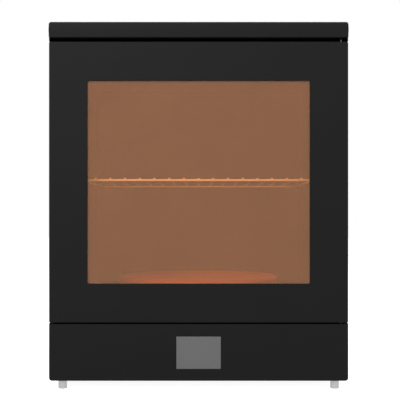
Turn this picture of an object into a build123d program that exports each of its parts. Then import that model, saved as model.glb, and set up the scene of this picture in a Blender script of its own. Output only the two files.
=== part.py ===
from build123d import *
import os

# Benchtop light curing cabinet: a sheet-metal housing round a lit chamber, with a hinged door that has an
# amber window, a wire rack, a motor-driven turntable and a control fascia with a touch screen.
# Frame: +Z up, the front faces -Y, +X is to the right of a person facing the door.
# The origin is on the bench, under the middle of the bounding box.

os.makedirs("parts", exist_ok=True)

# ---------------------------------------------------------------- driving dimensions (mm)
# Outer shape
body_width = 391.0
overall_depth = 385.0
foot_height = 12.5
fascia_height = 74.0
door_gap = 2.0
door_height = 367.0
cap_gap = 5.5
cap_height = 21.1
cap_overhang = 1.0
cap_wall = 2.0
cap_corner_radius = 3.0
cap_edge_radius = 3.0
sheet = 1.5
flange = 12.0
fascia_corner_radius = 4.0
gap_tab_clearance = 0.8
gap_tab_setback = 1.0
gap_tab_thickness = 1.0
guard_depth = 4.0
vent_slot_length = 18.0
vent_slot_width = 4.0
vent_column_pitch = 24.0
vent_row_pitch = 8.0
rear_vent_columns = 9
rear_vent_rows = 5
rear_vent_drop = 60.0
base_vent_columns = 3
base_vent_rows = 6
base_vent_back = 252.5

# Door and its seal
door_thickness = 20.0
door_corner_radius = 1.5
seal_gap = 4.0
window_side_border = 50.25
window_end_border = 51.0
window_corner_radius = 2.0
pane_thickness = 3.0
pane_lap = 8.0
clamp_border = 8.0
clamp_lip = 1.5
liner_sheet = 1.2
liner_setback = 2.0
liner_clearance = 0.2
door_screw_inset = 11.5
door_screw_end_inset = 30.0
door_screw_rows = 4

# Hinge
pin_radius = 2.25
pin_inset = 8.0
pin_engagement = 16.0
hinge_block_height = 20.0
bracket_thickness = 4.0
bracket_length = 32.0
bracket_width = 16.0
washer_radius = 4.0

# Catches and door sensor
catch_inset = 10.5
catch_end_distance = 60.0
catch_width = 10.0
catch_length = 30.0
sensor_width = 8.0
sensor_length = 22.0

# Chamber
side_bay = 25.5
top_bay = 25.0
rear_bay = 38.5
chamber_rise = 29.5
chamber_wall = 1.2
seal_lap = 1.0
seal_width = 7.0

# Light modules
side_light_width = 120.0
side_light_height = 240.0
top_light_width = 200.0
top_light_height = 110.0
light_setback = 82.0
cover_margin = 5.0
cover_thickness = 2.0
board_standoff = 3.0
board_thickness = 1.6
chip_size = 5.0
chip_thickness = 1.2
chip_pitch = 20.0
heatsink_base = 2.5
heatsink_leg = 2.5
fin_height = 8.0
fin_thickness = 1.6
fin_pitch = 12.0

# Rack
rack_rise = 160.5
rack_side_gap = 10.0
rack_front_gap = 21.5
rack_rear_gap = 16.5
rack_corner_radius = 12.0
frame_wire_radius = 1.6
cross_wire_radius = 1.2
cross_wire_pitch = 20.0
peg_radius = 3.0
peg_overhang = 7.0
peg_collar_radius = 5.0
peg_collar_length = 2.0
peg_inset = 30.0

# Turntable and its drive
disc_radius = 120.0
disc_wall = 2.5
disc_height = 12.0
disc_edge_radius = 4.0
disc_rise = 21.0
disc_back = 192.5
hub_radius = 30.0
hub_height = 14.0
hub_screw_circle = 20.0
hub_screw_count = 3
shaft_radius = 5.0
shaft_length = 57.0
bearing_radius = 13.0
bearing_width = 8.0
bearing_spacing = 10.5
housing_radius = 20.0
housing_flange_radius = 28.0
housing_flange = 3.0
coupling_radius = 10.0
coupling_length = 18.0
motor_radius = 18.5
motor_length = 42.0
motor_shaft_radius = 3.0
motor_shaft_length = 14.0
bracket_plate = 2.0
bracket_span = 76.0
bracket_depth = 50.0
bracket_foot = 14.0

# Feet and screws
foot_radius = 5.75
foot_side_inset = 15.5
foot_front_inset = 16.5
foot_rear_inset = 22.0
foot_chamfer = 0.8
screw_radius = 1.5
screw_head_radius = 3.0
screw_head_height = 1.5
screw_length = 7.0
screw_clearance = 0.1
panel_screw_margin = 30.0
panel_screw_rows = 3

# Control fascia
screen_width = 58.1
screen_height = 42.3
screen_thickness = 2.0
screen_rise = 36.8
screen_clearance = 0.2
display_width = 72.0
display_height = 52.0
display_depth = 7.0

# Electrics
board_width = 110.0
board_depth = 80.0
standoff_height = 8.0
standoff_radius = 3.0
standoff_inset = 6.0
connector_length = 14.0
connector_depth = 7.0
connector_height = 9.0
connector_shares = (-0.3, -0.1, 0.1, 0.3)
board_side_inset = 85.5
board_back = 142.5
supply_width = 98.0
supply_depth = 160.0
supply_height = 40.0
supply_side_inset = 85.5
supply_back = 162.5
fan_size = 80.0
fan_depth = 25.0
fan_bore_radius = 38.0
fan_corner_radius = 5.0
fan_hole_pitch = 71.5
fan_side_inset = 90.5
rear_centre_rise = 49.5
fan_hub_radius = 17.0
fan_spindle_radius = 1.5
fan_screw_length = 14.0
fan_strut = 3.0
blade_count = 7
blade_chord = 16.0
blade_thickness = 1.5
blade_pitch_deg = 35.0
blade_tip_gap = 1.5
guard_ring_width = 1.8
guard_ring_count = 4
guard_ring_pitch = 8.0
inlet_side_inset = 75.5
inlet_flange_width = 50.0
inlet_flange_height = 28.0
inlet_flange = 2.5
inlet_corner_radius = 4.0
inlet_body_width = 28.0
inlet_body_height = 20.5
inlet_body_depth = 22.0
socket_width = 24.0
socket_height = 16.5
socket_depth = 16.0
inlet_pin_width = 2.0
inlet_pin_height = 4.0
inlet_pin_length = 11.0
inlet_pin_spread = 7.0
switch_spacing = 58.0
switch_width = 18.0
switch_height = 25.0
switch_rim = 2.0
switch_depth = 15.0
rocker_width = 10.0
rocker_height = 15.0
rocker_thickness = 5.5
rocker_tilt_deg = 7.0
rocker_swing = 1.0
rocker_axis_depth = 3.5
rocker_clearance = 0.3
rocker_pivot_radius = 1.5

# Fits
running_clearance = 0.05
seat_clearance = 0.1
contact_gap = 0.3

# ---------------------------------------------------------------- levels and faces worked out from them
half_width = body_width / 2
inner_half_width = half_width - sheet
front_y = -overall_depth / 2
rear_face_y = overall_depth / 2 - guard_depth
rear_inner_y = rear_face_y - sheet
fascia_top_z = foot_height + fascia_height
door_bottom_z = fascia_top_z + door_gap
door_top_z = door_bottom_z + door_height
door_centre_z = (door_bottom_z + door_top_z) / 2
body_top_z = door_top_z + cap_gap
cap_top_z = body_top_z + cap_height
door_rear_y = front_y + door_thickness
bezel_y = door_rear_y + seal_gap
bezel_rear_y = bezel_y + sheet
base_top_z = foot_height + sheet

window_width = body_width - 2 * window_side_border
window_height = door_height - 2 * window_end_border
pane_front_y = front_y + sheet
clamp_rear_y = pane_front_y + pane_thickness + clamp_lip
liner_front_y = door_rear_y - liner_sheet

pivot_x = half_width - pin_inset
pivot_y = front_y + door_thickness / 2

floor_z = fascia_top_z + chamber_rise
ceiling_z = body_top_z - top_bay
chamber_height = ceiling_z - floor_z
chamber_centre_z = (floor_z + ceiling_z) / 2
chamber_rear_y = rear_face_y - rear_bay
chamber_half = half_width - side_bay
chamber_width = 2 * chamber_half
wall_outer_x = chamber_half + chamber_wall
deck_bottom_z = floor_z - sheet

light_y = bezel_rear_y + light_setback
turntable_y = front_y + disc_back
disc_top_z = floor_z + disc_rise
disc_under_z = disc_top_z - disc_wall
hub_bottom_z = disc_under_z - hub_height
shaft_bottom_z = disc_under_z - shaft_length

rear_centre_z = foot_height + rear_centre_rise
fan_x = -(half_width - fan_side_inset)
inlet_x = half_width - inlet_side_inset
switch_x = inlet_x - switch_spacing
board_x = half_width - board_side_inset
board_y = front_y + board_back
supply_x = -(half_width - supply_side_inset)
supply_y = front_y + supply_back
base_vent_y = front_y + base_vent_back


def front_plane(y):
    """Return the plane that faces the front at depth y, with X and Z as its own axes."""
    return Plane.XZ.offset(-y)


def block(x_span, y_span, z_span, mode=Mode.ADD):
    """Add or cut a block between its low and high limit on each axis."""
    spans = (x_span, y_span, z_span)
    with Locations(tuple(sum(span) / 2 for span in spans)):
        Box(*(high - low for low, high in spans), mode=mode)


def post(x, y, z_span, radius, mode=Mode.ADD):
    """Add or cut an upright cylinder between two heights."""
    with Locations((x, y, sum(z_span) / 2)):
        Cylinder(radius, z_span[1] - z_span[0], mode=mode)


def stud(x, z, y_span, radius, mode=Mode.ADD):
    """Add or cut a cylinder that lies front to back between two depths."""
    with Locations((x, sum(y_span) / 2, z)):
        Cylinder(radius, y_span[1] - y_span[0], rotation=(90, 0, 0), mode=mode)


# ---------------------------------------------------------------- housing
foot_places = [
    (side * (half_width - foot_side_inset), y)
    for side in (-1, 1)
    for y in (front_y + foot_front_inset, rear_face_y - foot_rear_inset)
]
tongue_half = inner_half_width - fascia_corner_radius

# Base plate: flat tray whose tongue reaches forward under the fascia, with an upturned flange each side
with BuildPart() as base_plate:
    block(
        (-inner_half_width, inner_half_width),
        (bezel_y, rear_inner_y),
        (foot_height, base_top_z),
    )
    block((-tongue_half, tongue_half), (pane_front_y, bezel_y), (foot_height, base_top_z))
    for side in (-1, 1):
        edge_x = side * inner_half_width
        block(
            sorted((edge_x, edge_x - side * sheet)),
            (bezel_rear_y + sheet, rear_inner_y - sheet),
            (foot_height, base_top_z + flange),
        )
    with BuildSketch(Plane.XY.offset(foot_height)):
        with Locations(*foot_places):
            Circle(screw_radius + screw_clearance)
    extrude(amount=sheet, mode=Mode.SUBTRACT)
    with BuildSketch(Plane.XY.offset(foot_height)):
        with Locations((board_x, base_vent_y)):
            with GridLocations(vent_column_pitch, vent_row_pitch, base_vent_columns, base_vent_rows):
                SlotOverall(vent_slot_length, vent_slot_width)
    extrude(amount=sheet, mode=Mode.SUBTRACT)
base_plate.part.label = "base_plate"
export_step(base_plate.part, "parts/base_plate.step")

# Screw places on the rear panel, which meet the side panels' rear flanges
panel_screw_pitch = (body_top_z - foot_height - 2 * panel_screw_margin) / (panel_screw_rows - 1)
panel_screw_places = [
    (side * (inner_half_width - flange / 2), foot_height + panel_screw_margin + row * panel_screw_pitch)
    for side in (-1, 1)
    for row in range(panel_screw_rows)
]

# Side panels: a web with inward flanges along the front, rear and top edges
for side, side_name in ((-1, "left"), (1, "right")):
    web_x = sorted((side * inner_half_width, side * half_width))
    flange_x = sorted((side * inner_half_width, side * (inner_half_width - flange)))
    with BuildPart() as side_panel:
        block(web_x, (bezel_y, rear_inner_y), (foot_height, body_top_z))
        block(flange_x, (bezel_rear_y, bezel_rear_y + sheet), (fascia_top_z, body_top_z))
        block(flange_x, (rear_inner_y - sheet, rear_inner_y), (base_top_z, body_top_z))
        block(flange_x, (bezel_rear_y, rear_inner_y), (body_top_z - sheet, body_top_z))
        for x, z in panel_screw_places:
            stud(
                x,
                z,
                (rear_inner_y - sheet, rear_inner_y),
                screw_radius + screw_clearance,
                mode=Mode.SUBTRACT,
            )
    side_panel.part.label = f"{side_name}_side_panel"
    export_step(side_panel.part, f"parts/{side_name}_side_panel.step")

# Rear panel: one sheet with the fan opening, the inlet and switch cut-outs, air slots and screw holes
with BuildPart() as rear_panel:
    with BuildSketch(front_plane(rear_inner_y)):
        with Locations((0, (foot_height + body_top_z) / 2)):
            Rectangle(body_width, body_top_z - foot_height)
        with Locations((fan_x, rear_centre_z)):
            Circle(fan_bore_radius, mode=Mode.SUBTRACT)
            with GridLocations(fan_hole_pitch, fan_hole_pitch, 2, 2):
                Circle(screw_radius + screw_clearance, mode=Mode.SUBTRACT)
        with Locations((inlet_x, rear_centre_z)):
            Rectangle(
                inlet_body_width + 2 * seat_clearance,
                inlet_body_height + 2 * seat_clearance,
                mode=Mode.SUBTRACT,
            )
        with Locations((switch_x, rear_centre_z)):
            Rectangle(
                switch_width - 2 * switch_rim + 2 * seat_clearance,
                switch_height - 2 * switch_rim + 2 * seat_clearance,
                mode=Mode.SUBTRACT,
            )
        with Locations((0, body_top_z - rear_vent_drop)):
            with GridLocations(vent_column_pitch, vent_row_pitch, rear_vent_columns, rear_vent_rows):
                SlotOverall(vent_slot_length, vent_slot_width, mode=Mode.SUBTRACT)
        with Locations(*panel_screw_places):
            Circle(screw_radius + screw_clearance, mode=Mode.SUBTRACT)
    extrude(amount=-sheet)
rear_panel.part.label = "rear_panel"
export_step(rear_panel.part, "parts/rear_panel.step")

with BuildPart() as panel_screws:
    for x, z in panel_screw_places:
        stud(x, z, (rear_face_y - screw_length, rear_face_y), screw_radius)
        stud(x, z, (rear_face_y, rear_face_y + screw_head_height), screw_head_radius)
panel_screws.part.label = "panel_screws"
export_step(panel_screws.part, "parts/panel_screws.step")

# Top plate: rests on the side panels' top flanges and closes the cover from below
plate_half_width = half_width + cap_overhang - cap_wall - seat_clearance
plate_front_y = front_y + cap_wall + seat_clearance
plate_rear_y = rear_face_y + cap_overhang - cap_wall - seat_clearance
with BuildPart() as top_plate:
    block(
        (-plate_half_width, plate_half_width),
        (plate_front_y, plate_rear_y),
        (body_top_z, body_top_z + sheet),
    )
    fillet(top_plate.edges().filter_by(Axis.Z), cap_corner_radius - cap_wall)
    post(
        pivot_x,
        pivot_y,
        (body_top_z, body_top_z + sheet),
        pin_radius + contact_gap,
        mode=Mode.SUBTRACT,
    )
top_plate.part.label = "top_plate"
export_step(top_plate.part, "parts/top_plate.step")

# Top cover: a shallow cap with rounded upper edges, open underneath, whose front tabs close the gap's ends
cap_half_width = half_width + cap_overhang
cap_rear_y = rear_face_y + cap_overhang
with BuildPart() as top_cover:
    block((-cap_half_width, cap_half_width), (front_y, cap_rear_y), (body_top_z, cap_top_z))
    fillet(top_cover.edges().filter_by(Axis.Z), cap_corner_radius)
    fillet(top_cover.faces().sort_by(Axis.Z)[-1].edges(), cap_edge_radius)
    block(
        (-cap_half_width + cap_wall, cap_half_width - cap_wall),
        (front_y + cap_wall, cap_rear_y - cap_wall),
        (body_top_z, cap_top_z - cap_wall),
        mode=Mode.SUBTRACT,
    )
    for side in (-1, 1):
        block(
            sorted((side * (half_width - gap_tab_thickness), side * half_width)),
            (front_y + gap_tab_setback, bezel_y - gap_tab_setback),
            (door_top_z + gap_tab_clearance, body_top_z),
        )
top_cover.part.label = "top_cover"
export_step(top_cover.part, "parts/top_cover.step")

# Front bezel: flat sheet behind the door with the chamber's mouth cut in it
with BuildPart() as front_bezel:
    with BuildSketch(front_plane(bezel_y)):
        bezel_bottom_z = fascia_top_z - sheet
        with Locations((0, (bezel_bottom_z + body_top_z) / 2)):
            Rectangle(2 * inner_half_width, body_top_z - bezel_bottom_z)
        with Locations((0, chamber_centre_z)):
            Rectangle(chamber_width, chamber_height, mode=Mode.SUBTRACT)
    extrude(amount=-sheet)
front_bezel.part.label = "front_bezel"
export_step(front_bezel.part, "parts/front_bezel.step")

# Lower fascia: a pan that is open behind and below, with the screen's cut-out
screen_z = foot_height + screen_rise
with BuildPart() as lower_fascia:
    with BuildSketch(front_plane(front_y)) as fascia_face:
        with Locations((0, foot_height + fascia_height / 2)):
            Rectangle(body_width, fascia_height)
        fillet(fascia_face.vertices().group_by(Axis.Y)[0], fascia_corner_radius)
    extrude(amount=-(bezel_y - front_y))
    block(
        (-inner_half_width, inner_half_width),
        (front_y + sheet, bezel_y),
        (foot_height, fascia_top_z - sheet),
        mode=Mode.SUBTRACT,
    )
    block(
        (-screen_width / 2 - screen_clearance, screen_width / 2 + screen_clearance),
        (front_y, front_y + sheet),
        (
            screen_z - screen_height / 2 - screen_clearance,
            screen_z + screen_height / 2 + screen_clearance,
        ),
        mode=Mode.SUBTRACT,
    )
    post(
        pivot_x,
        pivot_y,
        (fascia_top_z - sheet, fascia_top_z),
        pin_radius + contact_gap,
        mode=Mode.SUBTRACT,
    )
    for side in (-1, 1):
        block(
            sorted((side * (half_width - gap_tab_thickness), side * half_width)),
            (front_y + gap_tab_setback, bezel_y - gap_tab_setback),
            (fascia_top_z, door_bottom_z - gap_tab_clearance),
        )
lower_fascia.part.label = "lower_fascia"
export_step(lower_fascia.part, "parts/lower_fascia.step")

# Touch screen: a glass plate flush with the fascia, on the display module behind it
with BuildPart() as touch_screen:
    with BuildSketch(front_plane(front_y)):
        with Locations((0, screen_z)):
            Rectangle(screen_width, screen_height)
    extrude(amount=-screen_thickness)
touch_screen.part.label = "touch_screen"
export_step(touch_screen.part, "parts/touch_screen.step")

display_y = front_y + screen_thickness
with BuildPart() as display_module:
    block(
        (-display_width / 2, display_width / 2),
        (display_y, display_y + display_depth),
        (screen_z - display_height / 2, screen_z + display_height / 2),
    )
display_module.part.label = "display_module"
export_step(display_module.part, "parts/display_module.step")

# Feet: plain round posts, each held by a screw from above
with BuildPart() as feet:
    for x, y in foot_places:
        post(x, y, (0, foot_height), foot_radius)
    chamfer(feet.faces().group_by(Axis.Z)[0].edges(), foot_chamfer)
    for x, y in foot_places:
        post(
            x,
            y,
            (foot_height - screw_length, foot_height),
            screw_radius + screw_clearance,
            mode=Mode.SUBTRACT,
        )
feet.part.label = "feet"
export_step(feet.part, "parts/feet.step")

with BuildPart() as foot_screws:
    for x, y in foot_places:
        post(x, y, (base_top_z - screw_length, base_top_z), screw_radius)
        post(x, y, (base_top_z, base_top_z + screw_head_height), screw_head_radius)
foot_screws.part.label = "foot_screws"
export_step(foot_screws.part, "parts/foot_screws.step")

# ---------------------------------------------------------------- chamber
# Floor: a deck that spans the housing, with a tongue that meets the bezel at the chamber's mouth
with BuildPart() as chamber_floor:
    block(
        (-inner_half_width, inner_half_width),
        (bezel_rear_y + sheet, rear_inner_y - sheet),
        (deck_bottom_z, floor_z),
    )
    tongue_x = inner_half_width - flange - seat_clearance
    block((-tongue_x, tongue_x), (bezel_rear_y, bezel_rear_y + sheet), (deck_bottom_z, floor_z))
    post(
        0,
        turntable_y,
        (deck_bottom_z, floor_z),
        shaft_radius + chamber_wall,
        mode=Mode.SUBTRACT,
    )
chamber_floor.part.label = "chamber_floor"
export_step(chamber_floor.part, "parts/chamber_floor.step")

# Side walls: each has an opening for its light module
for side, side_name in ((-1, "left"), (1, "right")):
    wall_x = sorted((side * chamber_half, side * wall_outer_x))
    with BuildPart() as side_wall:
        block(wall_x, (bezel_rear_y, chamber_rear_y), (floor_z, ceiling_z))
        block(
            wall_x,
            (light_y - side_light_width / 2, light_y + side_light_width / 2),
            (chamber_centre_z - side_light_height / 2, chamber_centre_z + side_light_height / 2),
            mode=Mode.SUBTRACT,
        )
    side_wall.part.label = f"chamber_{side_name}_wall"
    export_step(side_wall.part, f"parts/chamber_{side_name}_wall.step")

with BuildPart() as chamber_rear_wall:
    block(
        (-wall_outer_x, wall_outer_x),
        (chamber_rear_y, chamber_rear_y + chamber_wall),
        (floor_z, ceiling_z),
    )
chamber_rear_wall.part.label = "chamber_rear_wall"
export_step(chamber_rear_wall.part, "parts/chamber_rear_wall.step")

with BuildPart() as chamber_ceiling:
    block(
        (-wall_outer_x, wall_outer_x),
        (bezel_rear_y, chamber_rear_y + chamber_wall),
        (ceiling_z, ceiling_z + chamber_wall),
    )
    block(
        (-top_light_width / 2, top_light_width / 2),
        (light_y - top_light_height / 2, light_y + top_light_height / 2),
        (ceiling_z, ceiling_z + chamber_wall),
        mode=Mode.SUBTRACT,
    )
chamber_ceiling.part.label = "chamber_ceiling"
export_step(chamber_ceiling.part, "parts/chamber_ceiling.step")

# Light modules: each stands on the outside of its wall, and its plane's normal leads away from the chamber
light_modules = {
    "left": (
        Plane((-wall_outer_x, light_y, chamber_centre_z), x_dir=(0, 1, 0), z_dir=(-1, 0, 0)),
        side_light_width,
        side_light_height,
    ),
    "right": (
        Plane((wall_outer_x, light_y, chamber_centre_z), x_dir=(0, 1, 0), z_dir=(1, 0, 0)),
        side_light_width,
        side_light_height,
    ),
    "top": (
        Plane((0, light_y, ceiling_z + chamber_wall), x_dir=(1, 0, 0), z_dir=(0, 0, 1)),
        top_light_width,
        top_light_height,
    ),
}
board_level = cover_thickness + board_standoff
heatsink_level = board_level + board_thickness

with BuildPart() as led_covers:
    for plane, width, height in light_modules.values():
        with BuildSketch(plane):
            Rectangle(width + 2 * cover_margin, height + 2 * cover_margin)
        extrude(amount=cover_thickness)
led_covers.part.label = "led_covers"
export_step(led_covers.part, "parts/led_covers.step")

with BuildPart() as led_boards:
    for plane, width, height in light_modules.values():
        with BuildSketch(plane.offset(board_level)):
            Rectangle(width + 2 * cover_margin, height + 2 * cover_margin)
        extrude(amount=board_thickness)
led_boards.part.label = "led_boards"
export_step(led_boards.part, "parts/led_boards.step")

with BuildPart() as led_chips:
    for plane, width, height in light_modules.values():
        columns = int(width // chip_pitch)
        rows = int(height // chip_pitch)
        with BuildSketch(plane.offset(board_level - chip_thickness)):
            with GridLocations(chip_pitch, chip_pitch, columns, rows):
                Rectangle(chip_size, chip_size)
        extrude(amount=chip_thickness)
led_chips.part.label = "led_chips"
export_step(led_chips.part, "parts/led_chips.step")

# Heatsinks: a finned base with two legs that straddle the board and seat on the wall
for module_name, (plane, width, height) in light_modules.items():
    leg_offset = width / 2 + cover_margin + seat_clearance + heatsink_leg / 2
    base_width = 2 * leg_offset + heatsink_leg
    base_height = height + 2 * cover_margin
    fin_count = int(base_width // fin_pitch)
    with BuildPart() as led_heatsink:
        with BuildSketch(plane):
            with Locations((-leg_offset, 0), (leg_offset, 0)):
                Rectangle(heatsink_leg, base_height)
        extrude(amount=heatsink_level)
        with BuildSketch(plane.offset(heatsink_level)):
            Rectangle(base_width, base_height)
        extrude(amount=heatsink_base)
        with BuildSketch(plane.offset(heatsink_level + heatsink_base)):
            with GridLocations(fin_pitch, 0, fin_count, 1):
                Rectangle(fin_thickness, base_height)
        extrude(amount=fin_height)
    led_heatsink.part.label = f"led_heatsink_{module_name}"
    export_step(led_heatsink.part, f"parts/led_heatsink_{module_name}.step")

# ---------------------------------------------------------------- rack
rack_z = floor_z + rack_rise
rack_width = chamber_width - 2 * rack_side_gap
rack_front_y = bezel_rear_y + rack_front_gap
rack_rear_y = chamber_rear_y - rack_rear_gap
rack_depth = rack_rear_y - rack_front_y
rack_centre_y = (rack_front_y + rack_rear_y) / 2
peg_z = rack_z - frame_wire_radius - contact_gap - peg_radius

# Frame: one closed loop of wire with rounded corners
with BuildPart() as rack_frame:
    with BuildSketch(Plane.XY.offset(rack_z)) as rack_outline:
        with Locations((0, rack_centre_y)):
            RectangleRounded(rack_width, rack_depth, rack_corner_radius)
    rack_path = rack_outline.sketch.wires()[0]
    with BuildSketch(Plane(rack_path @ 0, z_dir=rack_path % 0)) as wire_section:
        Circle(frame_wire_radius)
    sweep(sections=wire_section.sketch, path=rack_path)
rack_frame.part.label = "rack_frame"
export_step(rack_frame.part, "parts/rack_frame.step")

# Cross wires: lie on the front and rear bars, where they are welded
cross_wire_z = rack_z + frame_wire_radius + cross_wire_radius
cross_wire_count = int((rack_width - 2 * rack_corner_radius) // cross_wire_pitch) + 1
with BuildPart() as rack_wires:
    with BuildSketch(front_plane(rack_front_y - frame_wire_radius)):
        with Locations((0, cross_wire_z)):
            with GridLocations(cross_wire_pitch, 0, cross_wire_count, 1):
                Circle(cross_wire_radius)
    extrude(amount=-(rack_depth + 2 * frame_wire_radius))
rack_wires.part.label = "rack_wires"
export_step(rack_wires.part, "parts/rack_wires.step")

# Pegs: two on each side wall, under the frame's side bars
with BuildPart() as rack_pegs:
    for side in (-1, 1):
        for y in (rack_front_y + peg_inset, rack_rear_y - peg_inset):
            with BuildSketch(Plane.YZ.offset(side * chamber_half)):
                with Locations((y, peg_z)):
                    Circle(peg_radius)
            extrude(amount=-side * (rack_side_gap + peg_overhang))
            with BuildSketch(Plane.YZ.offset(side * chamber_half)):
                with Locations((y, peg_z)):
                    Circle(peg_collar_radius)
            extrude(amount=-side * peg_collar_length)
rack_pegs.part.label = "rack_pegs"
export_step(rack_pegs.part, "parts/rack_pegs.step")

# ---------------------------------------------------------------- door
# Skin: a pan with turned edges and the window's opening
door_inner_half = half_width - sheet
with BuildPart() as door_skin:
    with BuildSketch(front_plane(front_y)) as door_face:
        with Locations((0, door_centre_z)):
            Rectangle(body_width, door_height)
        fillet(door_face.vertices(), door_corner_radius)
    extrude(amount=-door_thickness)
    block(
        (-door_inner_half, door_inner_half),
        (pane_front_y, door_rear_y),
        (door_bottom_z + sheet, door_top_z - sheet),
        mode=Mode.SUBTRACT,
    )
    with BuildSketch(front_plane(front_y)):
        with Locations((0, door_centre_z)):
            RectangleRounded(window_width, window_height, window_corner_radius)
    extrude(amount=-sheet, mode=Mode.SUBTRACT)
    post(
        pivot_x,
        pivot_y,
        (door_bottom_z, door_top_z),
        pin_radius + contact_gap,
        mode=Mode.SUBTRACT,
    )
door_skin.part.label = "door_skin"
export_step(door_skin.part, "parts/door_skin.step")

with BuildPart() as door_window:
    with BuildSketch(front_plane(pane_front_y)):
        with Locations((0, door_centre_z)):
            Rectangle(window_width + 2 * pane_lap, window_height + 2 * pane_lap)
    extrude(amount=-pane_thickness)
door_window.part.label = "door_window"
export_step(door_window.part, "parts/door_window.step")

# Clamp: a stepped frame that holds the pane's edge against the skin
pane_half_width = window_width / 2 + pane_lap + seat_clearance
pane_half_height = window_height / 2 + pane_lap + seat_clearance
with BuildPart() as window_clamp:
    with BuildSketch(front_plane(pane_front_y)):
        with Locations((0, door_centre_z)):
            Rectangle(
                2 * (pane_half_width + clamp_border),
                2 * (pane_half_height + clamp_border),
            )
            Rectangle(window_width, window_height, mode=Mode.SUBTRACT)
    extrude(amount=-(pane_thickness + clamp_lip))
    block(
        (-pane_half_width, pane_half_width),
        (pane_front_y, pane_front_y + pane_thickness),
        (door_centre_z - pane_half_height, door_centre_z + pane_half_height),
        mode=Mode.SUBTRACT,
    )
window_clamp.part.label = "window_clamp"
export_step(window_clamp.part, "parts/window_clamp.step")

# Liner: closes the door's back, with a tunnel round the window that meets the clamp
door_screw_pitch = (door_height - 2 * door_screw_end_inset) / (door_screw_rows - 1)
door_screw_places = [
    (side * (half_width - door_screw_inset), door_bottom_z + door_screw_end_inset + row * door_screw_pitch)
    for side in (-1, 1)
    for row in range(door_screw_rows)
]
liner_half_width = door_inner_half - liner_clearance
liner_half_height = door_height / 2 - sheet - liner_clearance
tunnel_width = window_width + 2 * liner_setback
tunnel_height = window_height + 2 * liner_setback
with BuildPart() as door_liner:
    with BuildSketch(front_plane(liner_front_y)):
        with Locations((0, door_centre_z)):
            Rectangle(2 * liner_half_width, 2 * liner_half_height)
            Rectangle(tunnel_width, tunnel_height, mode=Mode.SUBTRACT)
        with Locations(*door_screw_places):
            Circle(screw_radius + screw_clearance, mode=Mode.SUBTRACT)
    extrude(amount=-liner_sheet)
    with BuildSketch(front_plane(clamp_rear_y)):
        with Locations((0, door_centre_z)):
            Rectangle(tunnel_width + 2 * liner_sheet, tunnel_height + 2 * liner_sheet)
            Rectangle(tunnel_width, tunnel_height, mode=Mode.SUBTRACT)
    extrude(amount=-(liner_front_y - clamp_rear_y))
door_liner.part.label = "door_liner"
export_step(door_liner.part, "parts/door_liner.step")

with BuildPart() as door_screws:
    for x, z in door_screw_places:
        stud(x, z, (door_rear_y - screw_length, door_rear_y), screw_radius)
        stud(x, z, (door_rear_y, door_rear_y + screw_head_height), screw_head_radius)
door_screws.part.label = "door_screws"
export_step(door_screws.part, "parts/door_screws.step")

# Hinge blocks: the pins turn in them, one inside the door's top edge and one inside its bottom edge
upper_block_z = (door_top_z - sheet - hinge_block_height, door_top_z - sheet)
lower_block_z = (door_bottom_z + sheet, door_bottom_z + sheet + hinge_block_height)
with BuildPart() as hinge_blocks:
    for block_z in (upper_block_z, lower_block_z):
        block(
            (pivot_x - (door_inner_half - pivot_x), door_inner_half),
            (pane_front_y, liner_front_y),
            block_z,
        )
        post(pivot_x, pivot_y, block_z, pin_radius + running_clearance, mode=Mode.SUBTRACT)
hinge_blocks.part.label = "hinge_blocks"
export_step(hinge_blocks.part, "parts/hinge_blocks.step")

# ---------------------------------------------------------------- hinge, seal and catches on the body
upper_bracket_z = (body_top_z + sheet, body_top_z + sheet + bracket_thickness)
lower_bracket_z = (fascia_top_z - sheet - bracket_thickness, fascia_top_z - sheet)
with BuildPart() as hinge_brackets:
    for bracket_z in (upper_bracket_z, lower_bracket_z):
        block(
            (inner_half_width - bracket_length, inner_half_width),
            (pivot_y - bracket_width / 2, pivot_y + bracket_width / 2),
            bracket_z,
        )
        post(pivot_x, pivot_y, bracket_z, pin_radius, mode=Mode.SUBTRACT)
hinge_brackets.part.label = "hinge_brackets"
export_step(hinge_brackets.part, "parts/hinge_brackets.step")

with BuildPart() as hinge_pins:
    post(pivot_x, pivot_y, (upper_block_z[1] - pin_engagement, upper_bracket_z[1]), pin_radius)
    post(pivot_x, pivot_y, (lower_bracket_z[0], lower_block_z[0] + pin_engagement), pin_radius)
hinge_pins.part.label = "hinge_pins"
export_step(hinge_pins.part, "parts/hinge_pins.step")

with BuildPart() as thrust_washer:
    post(pivot_x, pivot_y, (fascia_top_z, door_bottom_z - contact_gap), washer_radius)
    post(
        pivot_x,
        pivot_y,
        (fascia_top_z, door_bottom_z - contact_gap),
        pin_radius + seat_clearance,
        mode=Mode.SUBTRACT,
    )
thrust_washer.part.label = "thrust_washer"
export_step(thrust_washer.part, "parts/thrust_washer.step")

# Seal: a soft ring on the bezel round the chamber's mouth
with BuildPart() as door_seal:
    with BuildSketch(front_plane(bezel_y)):
        with Locations((0, chamber_centre_z)):
            Rectangle(
                chamber_width + 2 * (seal_lap + seal_width),
                chamber_height + 2 * (seal_lap + seal_width),
            )
            Rectangle(
                chamber_width + 2 * seal_lap,
                chamber_height + 2 * seal_lap,
                mode=Mode.SUBTRACT,
            )
    extrude(amount=seal_gap - contact_gap)
door_seal.part.label = "door_seal"
export_step(door_seal.part, "parts/door_seal.step")

catch_x = -(half_width - catch_inset)
catch_levels = (door_bottom_z + catch_end_distance, door_top_z - catch_end_distance)
with BuildPart() as magnet_catches:
    for catch_z in catch_levels:
        block(
            (catch_x - catch_width / 2, catch_x + catch_width / 2),
            (door_rear_y + contact_gap, bezel_y),
            (catch_z - catch_length / 2, catch_z + catch_length / 2),
        )
magnet_catches.part.label = "magnet_catches"
export_step(magnet_catches.part, "parts/magnet_catches.step")

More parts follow.
